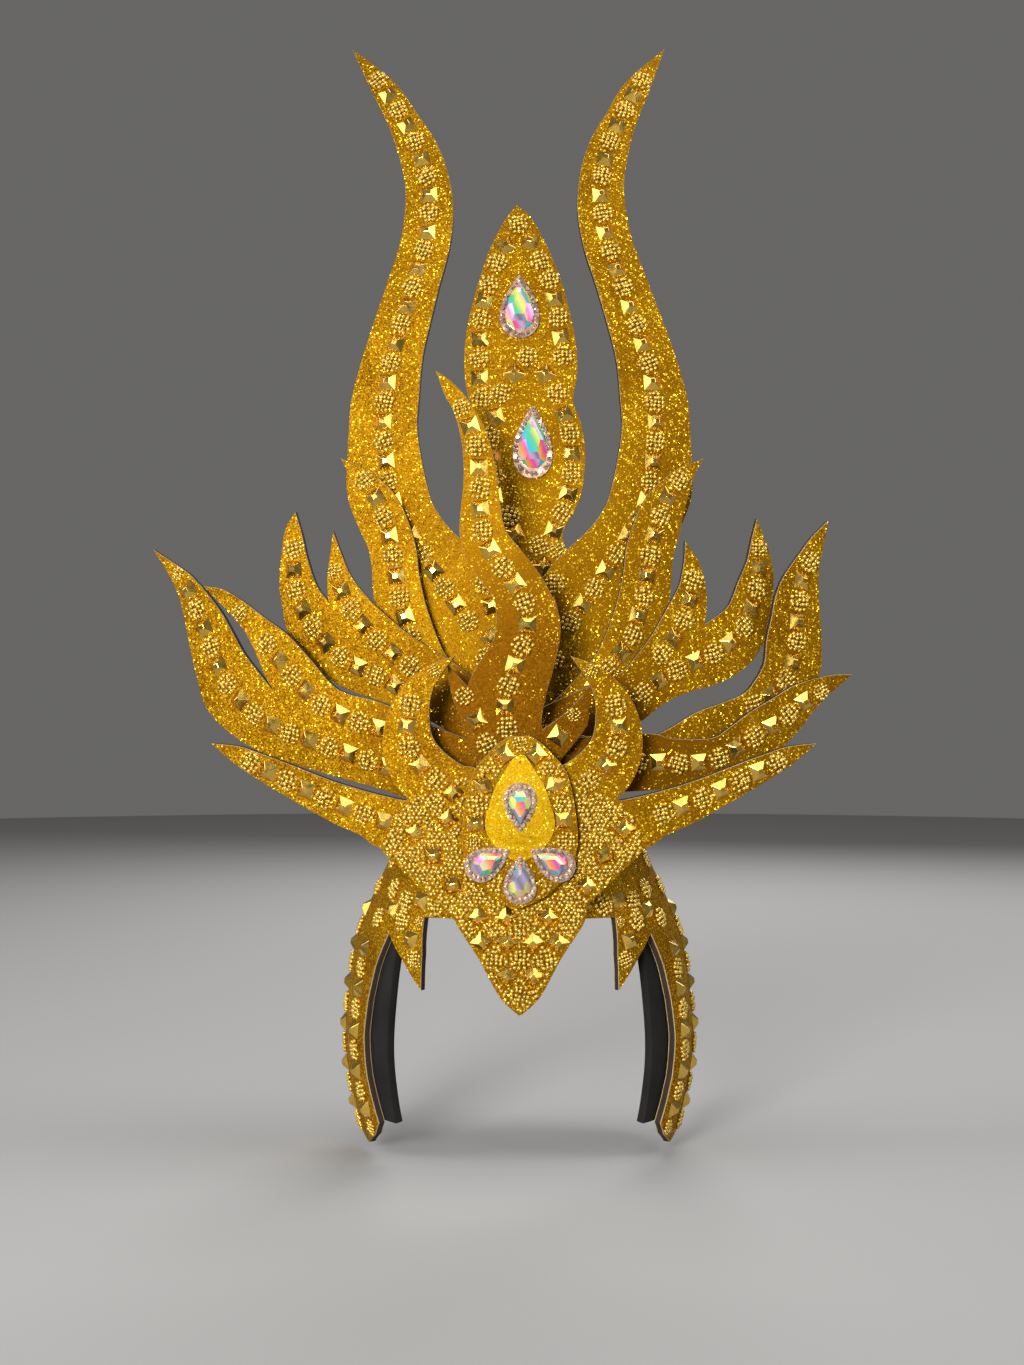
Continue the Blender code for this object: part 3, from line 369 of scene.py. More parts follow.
def stud():
    """A square pyramid stud with a small table and narrow bevelled corners, set a little askew."""
    shape = bmesh.new()
    turn = Matrix.Rotation(math.radians(45 + rng.uniform(-7, 7)), 4, "Z")
    lean = Matrix.Rotation(math.radians(rng.uniform(-3, 3)), 4, "X")
    seat = lean @ turn @ Matrix.Translation((0, 0, STUD_HEIGHT / 2 - STUD_SUNK))
    made = bmesh.ops.create_cone(
        shape, cap_ends=True, segments=4, radius1=STUD_SIDE / math.sqrt(2), radius2=STUD_TABLE / math.sqrt(2),
        depth=STUD_HEIGHT, matrix=seat,
    )
    edges = list({e for v in made["verts"] for e in v.link_edges})
    bmesh.ops.bevel(
        shape, geom=edges, offset=STUD_BEVEL, segments=1, profile=0.5, affect="EDGES", material=-1,
    )
    return shape


def add_bead(shape, spot):
    """Adds one tiny round bead."""
    twist = Matrix.Rotation(rng.uniform(0, 3), 4, Vector((rng.uniform(-1, 1), 1, rng.uniform(-1, 1))))
    radius = BEAD * rng.uniform(0.47, 0.60)
    bmesh.ops.create_icosphere(shape, subdivisions=1, radius=radius, matrix=Matrix.Translation(spot) @ twist)


def bead_patch():
    """A rounded square patch of beads in five rows of five, the middle ones a little higher."""
    shape = bmesh.new()
    for row in range(-2, 3):
        for column in range(-2, 3):
            if abs(row * column) < 4:
                x, y = column + rng.uniform(-0.2, 0.2), row + rng.uniform(-0.2, 0.2)
                high = DOME_HEIGHT * (1 - (x * x + y * y) / 8) + rng.uniform(0.0, 0.0005)
                add_bead(shape, Vector((x * BEAD, y * BEAD, high)))
    turn = Matrix.Rotation(math.radians(rng.uniform(-14, 14)), 4, "Z")
    bmesh.ops.transform(shape, matrix=turn, verts=shape.verts[:])
    return shape


def repeated(shapes, places):
    """One mesh with a copy of one of the shapes, by turns, at each place."""
    mesh = bpy.data.meshes.new("part")
    whole = bmesh.new()
    for i, place in enumerate(places):
        part = shapes[i % len(shapes)].copy()
        bmesh.ops.transform(part, matrix=place, verts=part.verts[:])
        part.to_mesh(mesh)
        part.free()
        whole.from_mesh(mesh)
    for shape in shapes:
        shape.free()
    bpy.data.meshes.remove(mesh)
    return whole


def nearest_edge(point, loop):
    found = []
    for start, end in zip(loop, loop[1:] + loop[:1]):
        spot, share = intersect_point_line(point, start, end)
        spot = start if share < 0 else end if share > 1 else spot
        found.append((point - spot.to_2d()).length)
    return min(found)


def inside(point, loop):
    crossings = 0
    for start, end in zip(loop, loop[1:] + loop[:1]):
        if (start.y > point.y) != (end.y > point.y):
            crossings += start.x + (point.y - start.y) / (end.y - start.y) * (end.x - start.x) > point.x
    return crossings % 2 == 1


def clear_of(point, others, apart):
    return all((point - other).length > apart for other, _ in others)


def stands_on(centre, along, loops, covers):
    """True where a stud's foot lies wholly on the sheet and clear of what covers the sheet."""
    arms = [Matrix.Rotation(math.radians(45 + 90 * turn), 2) @ along for turn in range(4)]
    corners = [centre + arm * STUD_SIDE / math.sqrt(2) for arm in arms]
    clear = [all(inside(p, loop) and nearest_edge(p, loop) > STUD_EDGE for p in corners) for loop in loops]
    covered = [inside(p, loop) or nearest_edge(p, loop) < STUD_EDGE for loop in covers for p in corners]
    return any(clear) and not any(covered)


def room_for_patch(centre, loops, covers):
    """The half width that a bead patch may have on a sheet, clear of what covers it, or nothing."""
    room = max([nearest_edge(centre, loop) for loop in loops if inside(centre, loop)], default=0.0)
    beside = [0.0 if inside(centre, loop) else nearest_edge(centre, loop) for loop in covers]
    return min([room, PATCH_HALF, *beside])


def dressed_sheet(node, face, loops, studs, patches, covers=(), pads=(), cell=0.008):
    """A glittered sheet that replaces its CAD node, with its studs and bead patches glued on."""
    shades = [FRONT_OF.get(node, gold_glitter), vinyl_edge, brown_foam]
    sheet = cut_sheet(node + "_sheet", loops, face, FOAM, shades, cell, pads=pads)
    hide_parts(node)
    set_studs, set_patches, patch_seats = [], [], []
    for centre, along in studs:
        if clear_of(centre, set_studs, STUD_SIDE * math.sqrt(2)) and stands_on(centre, along, loops, covers):
            set_studs.append((centre, along))
    for centre, along in patches:
        half = room_for_patch(centre, loops, covers)
        if half > NARROWEST and clear_of(centre, set_studs + set_patches, PATCH_APART):
            set_patches.append((centre, along))
            patch_seats.append(set_on(face, centre, along) @ Matrix.Scale(half / PATCH_HALF, 4))
    shape = repeated([stud() for _ in range(9)], [set_on(face, *spot) for spot in set_studs])
    finished(node + "_studs", shape, [stud_gold], corner=5)
    shape = repeated([bead_patch() for _ in range(7)], patch_seats)
    finished(node + "_beads", shape, [bead_gold], corner=180)
    return set_studs, set_patches


def single_places(table, width, height, foot=(0.0, 0.0)):
    """Places and directions of pieces that stand by themselves, from shares and a turn in degrees."""
    places = []
    for out, up, turn in table:
        middle = Vector((foot[0] + out * width, foot[1] + up * height))
        places.append((middle, Matrix.Rotation(math.radians(turn), 2) @ UP))
    return places


def round_the_head(table):
    """Places on both halves of the helmet, from a turn in degrees and a depth."""
    both = [(math.radians(side * turn), -down, 0.0) for turn, down in table for side in (-1, 1)]
    return single_places(both, HEAD_HALF_DEPTH, ARM_DROP)


GOLD_DUST = ((0.11, 0.037, 0.0002), (0.43, 0.2, 0.0012))
GOLD_FLAKE = (1.0, 0.66, 0.03)
BRIGHT_DUST = ((0.33, 0.155, 0.001), (0.74, 0.45, 0.005))
gold_glitter = glitter_material("gold glitter", GOLD_DUST, GOLD_FLAKE, 0.60)
# Copies of the gold glitter with painted shade near the hub. On the centre flame and lower right front wing
# it reaches further out and has fewer flakes.
wing_glitter_hub_shaded = glitter_material("wing glitter, painted hub shade", GOLD_DUST, GOLD_FLAKE, 0.60, (0.045, 0.100))
flame_glitter_hub_shaded = glitter_material("flame glitter, painted hub shade", GOLD_DUST, GOLD_FLAKE, 0.66, (0.066, 0.128))
bright_glitter = glitter_material("bright glitter", BRIGHT_DUST, (1.0, 0.72, 0.05), 0.55)
vinyl_edge = foam_material("pale vinyl edge", (0.32, 0.22, 0.10), (0.48, 0.36, 0.18))
brown_foam = foam_material("cut foam edge", (0.022, 0.014, 0.010), (0.055, 0.036, 0.024))
FRONT_OF = {
    "centre_flame": flame_glitter_hub_shaded, "lower_wing_right_front": flame_glitter_hub_shaded,
    "lower_wing_right_back": wing_glitter_hub_shaded, "lower_wing_left": wing_glitter_hub_shaded,
    "upper_wing_left": wing_glitter_hub_shaded, "upper_wing_right": wing_glitter_hub_shaded,
}
stud_gold = metal_material("gold stud", (0.84, 0.54, 0.10), 0.17, 0.95)
bead_gold = metal_material("gold bead", (1.0, 0.68, 0.12), 0.18, 0.60, 520, 0.50)
half = [Vector((math.radians(turn) * HEAD_HALF_DEPTH, -down * ARM_DROP)) for turn, down in HELMET_ROWS]
half.append(Vector((0.0, -HELMET_TOP_DROP)))
helmet_outline = half + [Vector((-p.x, p.y)) for p in half[-2:0:-1]]
dressed_sheet(
    "helmet", helmet_face, [helmet_outline],
    round_the_head(HELMET_STUDS), round_the_head(HELMET_BEADS), cell=0.005,
)

# Spine block: a plain block of black foam, out of sight behind the flames, that holds the stack up.
# It is glued to the top of the head band.
BLOCK_HALF_WIDTH = 0.012
BLOCK_DEPTH = 0.028
BLOCK_TOP = 0.042
PLAN_RADIUS = 0.450
LEAN_RADIUS = 0.900
BULGE_Z = 0.090
BROW_Z = -0.065
STUD_CLEARANCE = 0.0006
PAD_HALF_HEIGHT = 0.004
SPACER = STUD_HEIGHT + STUD_CLEARANCE
STACK = ("plate", "centre", "lower", "lower back", "upper", "mid", "horns", "leaf", "block")


def stack_face(layer):
    """The front face of a sheet in the stack. The front plate is layer 0, and higher layers lie behind it."""
    brow_lean = (BROW_Z - BULGE_Z) ** 2 / (2 * LEAN_RADIUS)
    pitch = FOAM + SPACER + GAP
    front = -(HEAD_HALF_DEPTH + GAP + FOAM) - brow_lean + layer * (pitch if layer > 0 else FOAM + GAP)

    def place(x, z):
        bow = x * x / (2 * PLAN_RADIUS) + (z - BULGE_Z) ** 2 / (2 * LEAN_RADIUS)
        return Vector((x, front + bow, z))

    return place


low = BAND_FOAM + GAP
wide, high = BLOCK_HALF_WIDTH, BLOCK_TOP
corners = [Vector(corner) for corner in ((-wide, low), (wide, low), (wide, high), (-wide, high))]
face = stack_face(STACK.index("block"))
block = cut_sheet("spine_foam", [corners], face, BLOCK_DEPTH, [black_foam] * 3, 0.010)
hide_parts("spine_block")

# Horns: two tall curved flames of glittered foam at the back of the stack, leaning a little to the left.
# Each carries a trail of studs and bead patches by turns up its middle, counted from the tip.
BEAD_PITCH = 0.0115
HORN_REACH = 0.098
HORN_RISE = 0.422
HORN_LEAN = 0.0065
LEAN_POWER = 1.5
HORN_ROWS = (
    (0.22, -0.03, 0.012, -0.03), (0.28, 0.01, 0.012, 0.08), (0.42, 0.105, 0.012, 0.19),
    (0.72, 0.211, 0.18, 0.255), (0.95, 0.319, 0.36, 0.296), (1.0, 0.36, 0.45, 0.32),
    (1.0, 0.4, 0.52, 0.353), (0.99, 0.45, 0.587, 0.431), (0.98, 0.481, 0.583, 0.48),
    (0.93, 0.529, 0.561, 0.538), (0.846, 0.59, 0.519, 0.582), (0.755, 0.652, 0.462, 0.635),
    (0.677, 0.711, 0.394, 0.693), (0.648, 0.772, 0.366, 0.749), (0.669, 0.814, 0.392, 0.802),
    (0.723, 0.863, 0.46, 0.85), (0.77, 0.892, 0.564, 0.892), (0.84, 0.93, 0.703, 0.944),
    (0.956, 1.0, 0.956, 1.0),
)
HORN_ROOT_STUDS = ((0.165, 0.203, 20), (0.165, 0.16, 40))
HORN_ROOT_BEADS = ((0.2, 0.232, 0), (0.175, 0.181, 0))
SHORTEST_EDGE = 0.0012
Flame = namedtuple("Flame", "side reach rise foot_x foot_z rows")


def smooth_line(points, cuts):
    """A curve through the points, with each span cut into equal steps of its parameter."""
    ends = [points[0] * 2 - points[1], *points, points[-1] * 2 - points[-2]]
    line = []
    for a, b, c, d in zip(ends, ends[1:], ends[2:], ends[3:]):
        for cut in range(cuts):
            t = cut / cuts
            bend = (2 * a - 5 * b + 4 * c - d) * t * t + (3 * b - a - 3 * c + d) * t * t * t
            line.append(b + ((c - a) * t + bend) / 2)
    return line + [points[-1]]


def edges_of(flame, cuts=6):
    """The outer and inner edge of a flame, from root to tip."""
    outer, inner = [], []
    for outer_out, outer_up, inner_out, inner_up in flame.rows:
        outer.append(Vector((outer_out * flame.reach * flame.side, outer_up * flame.rise)))
        inner.append(Vector((inner_out * flame.reach * flame.side, inner_up * flame.rise)))
    foot = Vector((flame.foot_x, flame.foot_z))
    return [[foot + point for point in smooth_line(edge, cuts)] for edge in (outer, inner)]


def outline_of(flame):
    outer, inner = edges_of(flame)
    loop = outer + inner[::-1]
    return [p for p, before in zip(loop, loop[-1:] + loop[:-1]) if (p - before).length > SHORTEST_EDGE]


def add_trail(studs, patches, flame, across, first, count):
    """Adds a flame's trail of studs and bead patches by turns, each with its direction.

    across says where it lies between the edges, and first how many pitches from the tip it starts.
    """
    outer, inner = edges_of(flame)
    line = [a.lerp(b, across) for a, b in zip(outer, inner)][::-1]
    for i in range(-1, 2 * count):
        distance = (first + i) * BEAD_PITCH
        for start, end in zip(line, line[1:]):
            step = (end - start).length
            if distance <= step:
                place = (start.lerp(end, distance / step), (end - start).normalized())
                (patches if i % 2 else studs).append(place)
                break
            distance -= step


def leaning(face):
    """The face with its upper part moved sideways."""

    def place(x, z):
        up = max(z - HUB_Z - HORN_RISE / 2, 0.0) / (HORN_RISE / 2)
        point = face(x, z)
        return Vector((point.x - HORN_LEAN * up**LEAN_POWER, point.y, point.z))

    return place


LOWEST_ROOT = BAND_FOAM + GAP + 0.001
PAD_Z = 0.025
PAD_INSIDE = 0.003
PAD_OUTSIDE = 0.016
MIDDLE_PAD_HALF_WIDTH = 0.009


def stack_sheet(node, layer, side, reach, rise, tables, trails, face=None, studs=(), patches=(), covers=()):
    """One sheet of the stack, whose flames share a foot at the hub. side is 0 for one across the middle."""
    way, foot = side or 1, (0.0, HUB_Z)
    flames = [Flame(way, reach, rise, *foot, rows) for rows in tables]
    loops = [outline_of(flame) for flame in flames]
    if STACK.index(layer) >= STACK.index("mid"):
        loops = [[Vector((p.x, max(p.y, LOWEST_ROOT))) for p in loop] for loop in loops]
    middle = (-MIDDLE_PAD_HALF_WIDTH, MIDDLE_PAD_HALF_WIDTH)
    low, high = sorted((side * PAD_INSIDE, side * PAD_OUTSIDE)) if side else middle
    all_studs, all_patches = [single_places(table, way * reach, rise, foot) for table in (studs, patches)]
    for which, *spacing in trails:
        add_trail(all_studs, all_patches, flames[which], *spacing)
    place = face or stack_face(STACK.index(layer))
    dressed_sheet(node, place, loops, all_studs, all_patches, covers, [(low, high, PAD_Z, SPACER)])


face = leaning(stack_face(STACK.index("horns")))
for node, side in (("horn_left", -1), ("horn_right", 1)):
    stack_sheet(
        node, "horns", side, HORN_REACH, HORN_RISE, (HORN_ROWS,), ((0, 0.5, 3.40, 16),), face,
        HORN_ROOT_STUDS, HORN_ROOT_BEADS,
    )

# Leaf: the tall double leaf in the middle, behind the horns, cut from one sheet.
# Studs and beads go round its border and over the point of its lower half.
LEAF_HALF_WIDTH = 0.032
LEAF_RISE = 0.320
LEAF_ROWS = (
    (0.6, -0.04, -0.6, -0.04), (0.6, 0.05, -0.6, 0.05), (0.62, 0.23, -0.42, 0.23), (0.9, 0.33, -0.48, 0.33),
    (0.76, 0.393, -0.5, 0.393), (0.935, 0.428, -0.62, 0.428), (1.11, 0.472, -0.7, 0.472),
    (1.167, 0.534, -0.72, 0.534), (1.11, 0.589, -0.8, 0.589), (0.957, 0.633, -0.9, 0.633),
    (1.03, 0.68, -0.98, 0.68), (1.02, 0.734, -0.98, 0.734), (0.9, 0.8, -0.9, 0.79),
    (0.72, 0.866, -0.755, 0.847), (0.45, 0.933, -0.54, 0.915), (0.18, 0.98, -0.27, 0.97),
    (-0.05, 1.0, -0.05, 1.0),
)
LEAF_CRYSTALS = (("upper", 0.0, 0.806, (0.023, 0.039)), ("lower", 0.231, 0.559, (0.0226, 0.0425)))
TEARDROP_WIDEST = 0.77
LEAF_STUDS = (
    (-0.25, 0.922, 25), (0.19, 0.93, -20), (-0.09, 0.683, 45), (0.46, 0.683, 40), (-0.44, 0.605, 20),
    (-0.09, 0.396, 20), (0.42, 0.338, 40),
)
LEAF_BEADS = (
    (-0.02, 0.962, 0), (-0.4, 0.888, 0), (0.36, 0.893, 0), (0.14, 0.713, 0), (-0.33, 0.646, 0),
    (0.66, 0.648, 0), (-0.52, 0.568, 0), (-0.55, 0.848, 0), (0.56, 0.848, 0), (-0.17, 0.427, 0),
    (0.34, 0.374, 0), (0.14, 0.352, 0),
)


def teardrop(middle, size, turn, scale=1.0, sides=24):
    """The outline of a teardrop. Its point is at the top before the turn."""
    width, length = size
    loop = []
    for i in range(sides):
        angle = 2 * math.pi * (i + 0.5) / sides
        aside = -width / 2 * scale * math.sin(angle) * math.sin(angle / 2) / TEARDROP_WIDEST
        ahead = length / 2 * scale * math.cos(angle)
        loop.append(middle + Matrix.Rotation(turn, 2) @ Vector((aside, ahead)))
    return loop


leaf_crystals = []
for name, out, up, size in LEAF_CRYSTALS:
    middle = Vector((out * LEAF_HALF_WIDTH, HUB_Z + up * LEAF_RISE))
    leaf_crystals.append(("leaf_crystal_" + name, middle, size))
stack_sheet(
    "leaf", "leaf", 0, LEAF_HALF_WIDTH, LEAF_RISE, (LEAF_ROWS,), ((0, 0.13, 3.35, 11), (0, 0.87, 3.35, 11)),
    studs=LEAF_STUDS, patches=LEAF_BEADS,
    covers=[teardrop(middle, size, 0.0) for _, middle, size in leaf_crystals],
)

# Mid flames: a pair of slim flames in front of the horns.
# Each has one trail of studs and beads up its middle.
MID_LEFT_REACH = 0.101
MID_RIGHT_REACH = 0.104
MID_RISE = 0.169
MID_ROWS = (
    (0.22, -0.08, 0.012, -0.08), (0.33, 0.06, 0.012, 0.1), (0.56, 0.26, 0.2, 0.2),
    (0.76, 0.42, 0.388, 0.326), (0.804, 0.514, 0.449, 0.392), (0.815, 0.563, 0.514, 0.5),
    (0.826, 0.656, 0.553, 0.6), (0.864, 0.748, 0.574, 0.699), (0.885, 0.81, 0.624, 0.795),
    (0.908, 0.861, 0.7, 0.88), (0.946, 0.937, 0.837, 0.953), (1.0, 1.0, 1.0, 1.0),
)
for node, side, reach in (("mid_flame_left", -1, MID_LEFT_REACH), ("mid_flame_right", 1, MID_RIGHT_REACH)):
    stack_sheet(node, "mid", side, reach, MID_RISE, (MID_ROWS,), ((0, 0.5, 2.70, 6),))

# Upper wings: on each side one sheet cut as two flames, a long one and a short one above it.
# They lie in front of the mid flames, each flame with its trail.
UPPER_LEFT_REACH, UPPER_LEFT_RISE = 0.135, 0.1385
UPPER_RIGHT_REACH, UPPER_RIGHT_RISE = 0.143, 0.1346
UPPER_LEFT_A = (
    (0.012, -0.1, 0.012, 0.096), (0.207, 0.055, 0.207, 0.196), (0.415, 0.176, 0.415, 0.317),
    (0.6, 0.24, 0.6, 0.437), (0.743, 0.293, 0.68, 0.49), (0.834, 0.353, 0.726, 0.538),
    (0.913, 0.43, 0.793, 0.635), (0.963, 0.506, 0.83, 0.68), (0.988, 0.614, 0.855, 0.731),
    (1.0, 0.711, 0.872, 0.78), (0.992, 0.828, 0.884, 0.82), (0.975, 0.928, 0.905, 0.908),
    (0.934, 1.0, 0.934, 1.0),
)
UPPER_LEFT_B = (
    (0.1, 0.05, 0.1, 0.23), (0.25, 0.15, 0.25, 0.37), (0.45, 0.25, 0.39, 0.457), (0.62, 0.37, 0.49, 0.526),
    (0.72, 0.48, 0.593, 0.614), (0.78, 0.6, 0.651, 0.675), (0.795, 0.68, 0.701, 0.743),
    (0.793, 0.752, 0.743, 0.84), (0.772, 0.916, 0.772, 0.916),
)
UPPER_RIGHT_A = (
    (0.012, -0.09, 0.012, 0.12), (0.2, 0.0, 0.2, 0.2), (0.4, 0.1, 0.4, 0.33), (0.555, 0.223, 0.55, 0.44),
    (0.66, 0.276, 0.62, 0.49), (0.76, 0.305, 0.68, 0.53), (0.867, 0.363, 0.734, 0.566),
    (0.934, 0.434, 0.77, 0.591), (0.977, 0.533, 0.82, 0.64), (0.992, 0.653, 0.855, 0.731),
    (1.0, 0.752, 0.88, 0.79), (0.988, 0.843, 0.895, 0.831), (0.961, 0.922, 0.914, 0.922),
    (0.934, 1.0, 0.934, 1.0),
)
UPPER_RIGHT_B = (
    (0.06, 0.02, 0.06, 0.2), (0.22, 0.1, 0.22, 0.28), (0.42, 0.25, 0.383, 0.351),
    (0.56, 0.36, 0.449, 0.421), (0.67, 0.46, 0.508, 0.504), (0.72, 0.56, 0.563, 0.603),
    (0.73, 0.653, 0.6, 0.673), (0.723, 0.731, 0.625, 0.731), (0.699, 0.814, 0.641, 0.823),
    (0.645, 0.901, 0.645, 0.901),
)
stack_sheet(
    "upper_wing_left", "upper", -1, UPPER_LEFT_REACH, UPPER_LEFT_RISE,
    (UPPER_LEFT_A, UPPER_LEFT_B), ((0, 0.5, 2.85, 5), (1, 0.5, 2.95, 3)),
)
stack_sheet(
    "upper_wing_right", "upper", 1, UPPER_RIGHT_REACH, UPPER_RIGHT_RISE,
    (UPPER_RIGHT_A, UPPER_RIGHT_B), ((0, 0.5, 2.45, 5), (1, 0.5, 2.95, 3)),
)

# Lower wings: the widest flames. The left one is one sheet with two flames.
# On the right a tall back flame and a long low front flame are separate sheets.
LOWER_LEFT_REACH, LOWER_LEFT_RISE = 0.208, 0.118
LOWER_BACK_REACH, LOWER_BACK_RISE = 0.176, 0.134
LOWER_FRONT_REACH, LOWER_FRONT_RISE = 0.187, 0.047
LOWER_LEFT_A = (
    (0.008, -0.12, 0.008, 0.1), (0.155, -0.18, 0.155, 0.05), (0.283, -0.18, 0.28, 0.05),
    (0.362, -0.138, 0.38, 0.1), (0.458, -0.092, 0.48, 0.17), (0.569, -0.038, 0.56, 0.23),
    (0.675, 0.02, 0.62, 0.28), (0.755, 0.094, 0.656, 0.325), (0.818, 0.183, 0.688, 0.39),
    (0.853, 0.272, 0.735, 0.493), (0.873, 0.4, 0.768, 0.593), (0.891, 0.529, 0.803, 0.697),
    (0.905, 0.653, 0.847, 0.795), (0.925, 0.782, 0.875, 0.845), (0.957, 0.889, 0.902, 0.889),
    (1.0, 1.0, 1.0, 1.0),
)
LOWER_LEFT_B = (
    (0.06, -0.08, 0.06, 0.06), (0.2, -0.05, 0.2, 0.14), (0.362, 0.02, 0.362, 0.264),
    (0.48, 0.1, 0.453, 0.307), (0.57, 0.18, 0.498, 0.353), (0.63, 0.27, 0.555, 0.469),
    (0.672, 0.37, 0.616, 0.582), (0.7, 0.48, 0.675, 0.658), (0.735, 0.6, 0.74, 0.742),
    (0.79, 0.71, 0.797, 0.8), (0.853, 0.817, 0.853, 0.817),
)
LOWER_BACK_ROWS = (
    (-0.13, -0.1, -0.13, 0.12), (0.12, -0.12, 0.12, 0.12), (0.37, -0.05, 0.33, 0.06),
    (0.56, 0.06, 0.449, 0.114), (0.66, 0.11, 0.551, 0.19), (0.75, 0.16, 0.644, 0.235),
    (0.83, 0.21, 0.706, 0.269), (0.89, 0.26, 0.738, 0.311), (0.94, 0.31, 0.774, 0.394),
    (0.964, 0.38, 0.783, 0.495), (0.966, 0.48, 0.8, 0.595), (0.962, 0.58, 0.813, 0.679),
    (0.957, 0.7, 0.839, 0.758), (0.957, 0.779, 0.889, 0.85), (0.971, 0.879, 0.936, 0.929),
    (0.991, 1.0, 0.991, 1.0),
)
LOWER_FRONT_ROWS = (
    (0.008, -0.38, 0.008, 0.26), (0.117, -0.4, 0.117, 0.26), (0.35, -0.36, 0.366, 0.31),
    (0.45, -0.33, 0.443, 0.253), (0.53, -0.31, 0.518, 0.24), (0.6, -0.21, 0.575, 0.264),
    (0.65, -0.13, 0.62, 0.38), (0.72, 0.02, 0.685, 0.567), (0.78, 0.14, 0.752, 0.72),
    (0.84, 0.375, 0.813, 0.862), (0.872, 0.54, 0.878, 0.946), (0.91, 0.7, 0.939, 0.993),
    (1.0, 1.0, 1.0, 1.0),
)
stack_sheet(
    "lower_wing_left", "lower", -1, LOWER_LEFT_REACH, LOWER_LEFT_RISE,
    (LOWER_LEFT_A, LOWER_LEFT_B), ((0, 0.5, 2.85, 8), (1, 0.5, 3.35, 5)),
)
stack_sheet(
    "lower_wing_right_back", "lower back", 0, LOWER_BACK_REACH, LOWER_BACK_RISE,
    (LOWER_BACK_ROWS,), ((0, 0.5, 3.30, 4),),
)
stack_sheet(
    "lower_wing_right_front", "lower", 1, LOWER_FRONT_REACH, LOWER_FRONT_RISE,
    (LOWER_FRONT_ROWS,), ((0, 0.5, 2.85, 6),),
)

# Centre flame: the S shaped flame that rises in front of the leaf, with two short flames at its foot.
# One long trail follows its bends, and each short flame has a stud among its beads.
CENTRE_REACH, CENTRE_RISE = 0.050, 0.2127
CENTRE_ROWS = (
    (0.34, -0.09, -0.46, -0.09), (0.38, 0.03, -0.48, 0.03), (0.24, 0.085, -0.52, 0.085),
    (0.27, 0.155, -0.59, 0.142), (0.36, 0.232, -0.54, 0.206), (0.43, 0.309, -0.39, 0.27),
    (0.43, 0.36, -0.27, 0.322), (0.36, 0.411, -0.27, 0.398), (0.22, 0.473, -0.39, 0.449),
    (0.02, 0.534, -0.57, 0.5), (-0.16, 0.59, -0.65, 0.573), (-0.22, 0.667, -0.64, 0.642),
    (-0.27, 0.757, -0.61, 0.718), (-0.38, 0.846, -0.63, 0.808), (-0.57, 0.924, -0.71, 0.885),
    (-0.74, 0.969, -0.82, 0.936), (-0.92, 1.0, -0.92, 1.0),
)
CENTRE_LEFT_ROWS = (
    (-0.3, -0.04, -0.05, 0.0), (-0.52, 0.03, -0.2, 0.08), (-0.64, 0.11, -0.36, 0.15),
    (-0.74, 0.17, -0.52, 0.18), (-0.79, 0.248, -0.79, 0.248),
)
CENTRE_RIGHT_ROWS = (
    (0.3, -0.04, 0.0, 0.0), (0.5, 0.02, 0.12, 0.06), (0.7, 0.08, 0.3, 0.09), (0.75, 0.115, 0.5, 0.125),
    (0.68, 0.17, 0.68, 0.17),
)
CENTRE_STUDS = ((-0.47, 0.105, 25), (0.42, 0.065, -35))
CENTRE_BEADS = ((-0.6, 0.165, 30), (-0.36, 0.045, 20), (0.58, 0.118, -40))
stack_sheet(
    "centre_flame", "centre", 0, CENTRE_REACH, CENTRE_RISE,
    (CENTRE_ROWS, CENTRE_LEFT_ROWS, CENTRE_RIGHT_ROWS), ((0, 0.5, 3.20, 9),),
    studs=CENTRE_STUDS, patches=CENTRE_BEADS,
)

# Front plate: the forehead plate with two long side spikes, two curled horns, and a point over the forehead.
# Studs and bead patches cover it closely, right round the medallion that lies on it.
PLATE_X = -0.004
PLATE_HALF_WIDTH = 0.071
PLATE_HEIGHT = 0.079
PLATE_PAD_Z = 0.007
POINT_HALF_WIDTH = 0.036
POINT_HEIGHT = 0.070
POINT_FOOT_Z = -0.119
PLATE_ROWS = ((0.45, 0.0), (0.66, 0.18), (0.87, 0.365), (1.0, 0.49), (0.97, 0.66), (0.8, 0.83), (0.4, 1.0))
POINT_ROWS = ((0.0, 0.0), (0.3, 0.15), (0.6, 0.44), (0.75, 0.565), (0.97, 0.75), (1.0, 0.87), (0.95, 1.0))
PLATE_STUDS = (
    (-0.87, 0.44, 15), (-0.74, 0.6, 40), (-0.6, 0.445, 0), (-0.665, 0.262, 45), (-0.49, 0.7, 45),
    (-0.45, 0.245, 10), (0.85, 0.63, 45), (0.7, 0.45, 20), (0.9, 0.46, 0), (0.56, 0.245, 45),
)
POINT_STUDS = (
    (-0.62, 0.8, 45), (-0.2, 0.8, 45), (0.42, 0.8, 45), (0.81, 0.81, 10), (-0.573, 0.6, 45),
    (-0.192, 0.6, 45), (0.192, 0.6, 45), (0.573, 0.6, 45), (-0.195, 0.33, 45), (0.195, 0.33, 45),
)
POINT_BEADS = (
    (-0.8, 0.7, 0), (-0.39, 0.7, 0), (0.0, 0.7, 0), (0.38, 0.7, 0), (0.76, 0.7, 0), (-0.42, 0.465, 0),
    (0.0, 0.465, 0), (0.4, 0.465, 0), (0.0, 0.175, 0),
)
SPIKE_LEFT_REACH, SPIKE_RIGHT_REACH = 0.166, 0.167
SPIKE_RISE, SPIKE_FOOT_Z = 0.0564, -0.0264
SPIKE_ROWS = (
    (0.25, -0.1, 0.25, 0.42), (0.428, 0.0, 0.341, 0.463), (0.5, 0.13, 0.454, 0.535),
    (0.603, 0.264, 0.587, 0.647), (0.769, 0.534, 0.752, 0.826), (0.86, 0.69, 0.84, 0.915),
    (0.927, 0.819, 0.905, 0.972), (1.0, 1.0, 1.0, 1.0),
)
CURL_REACH, CURL_RISE, CURL_FOOT_Z = 0.070, 0.099, -0.0212
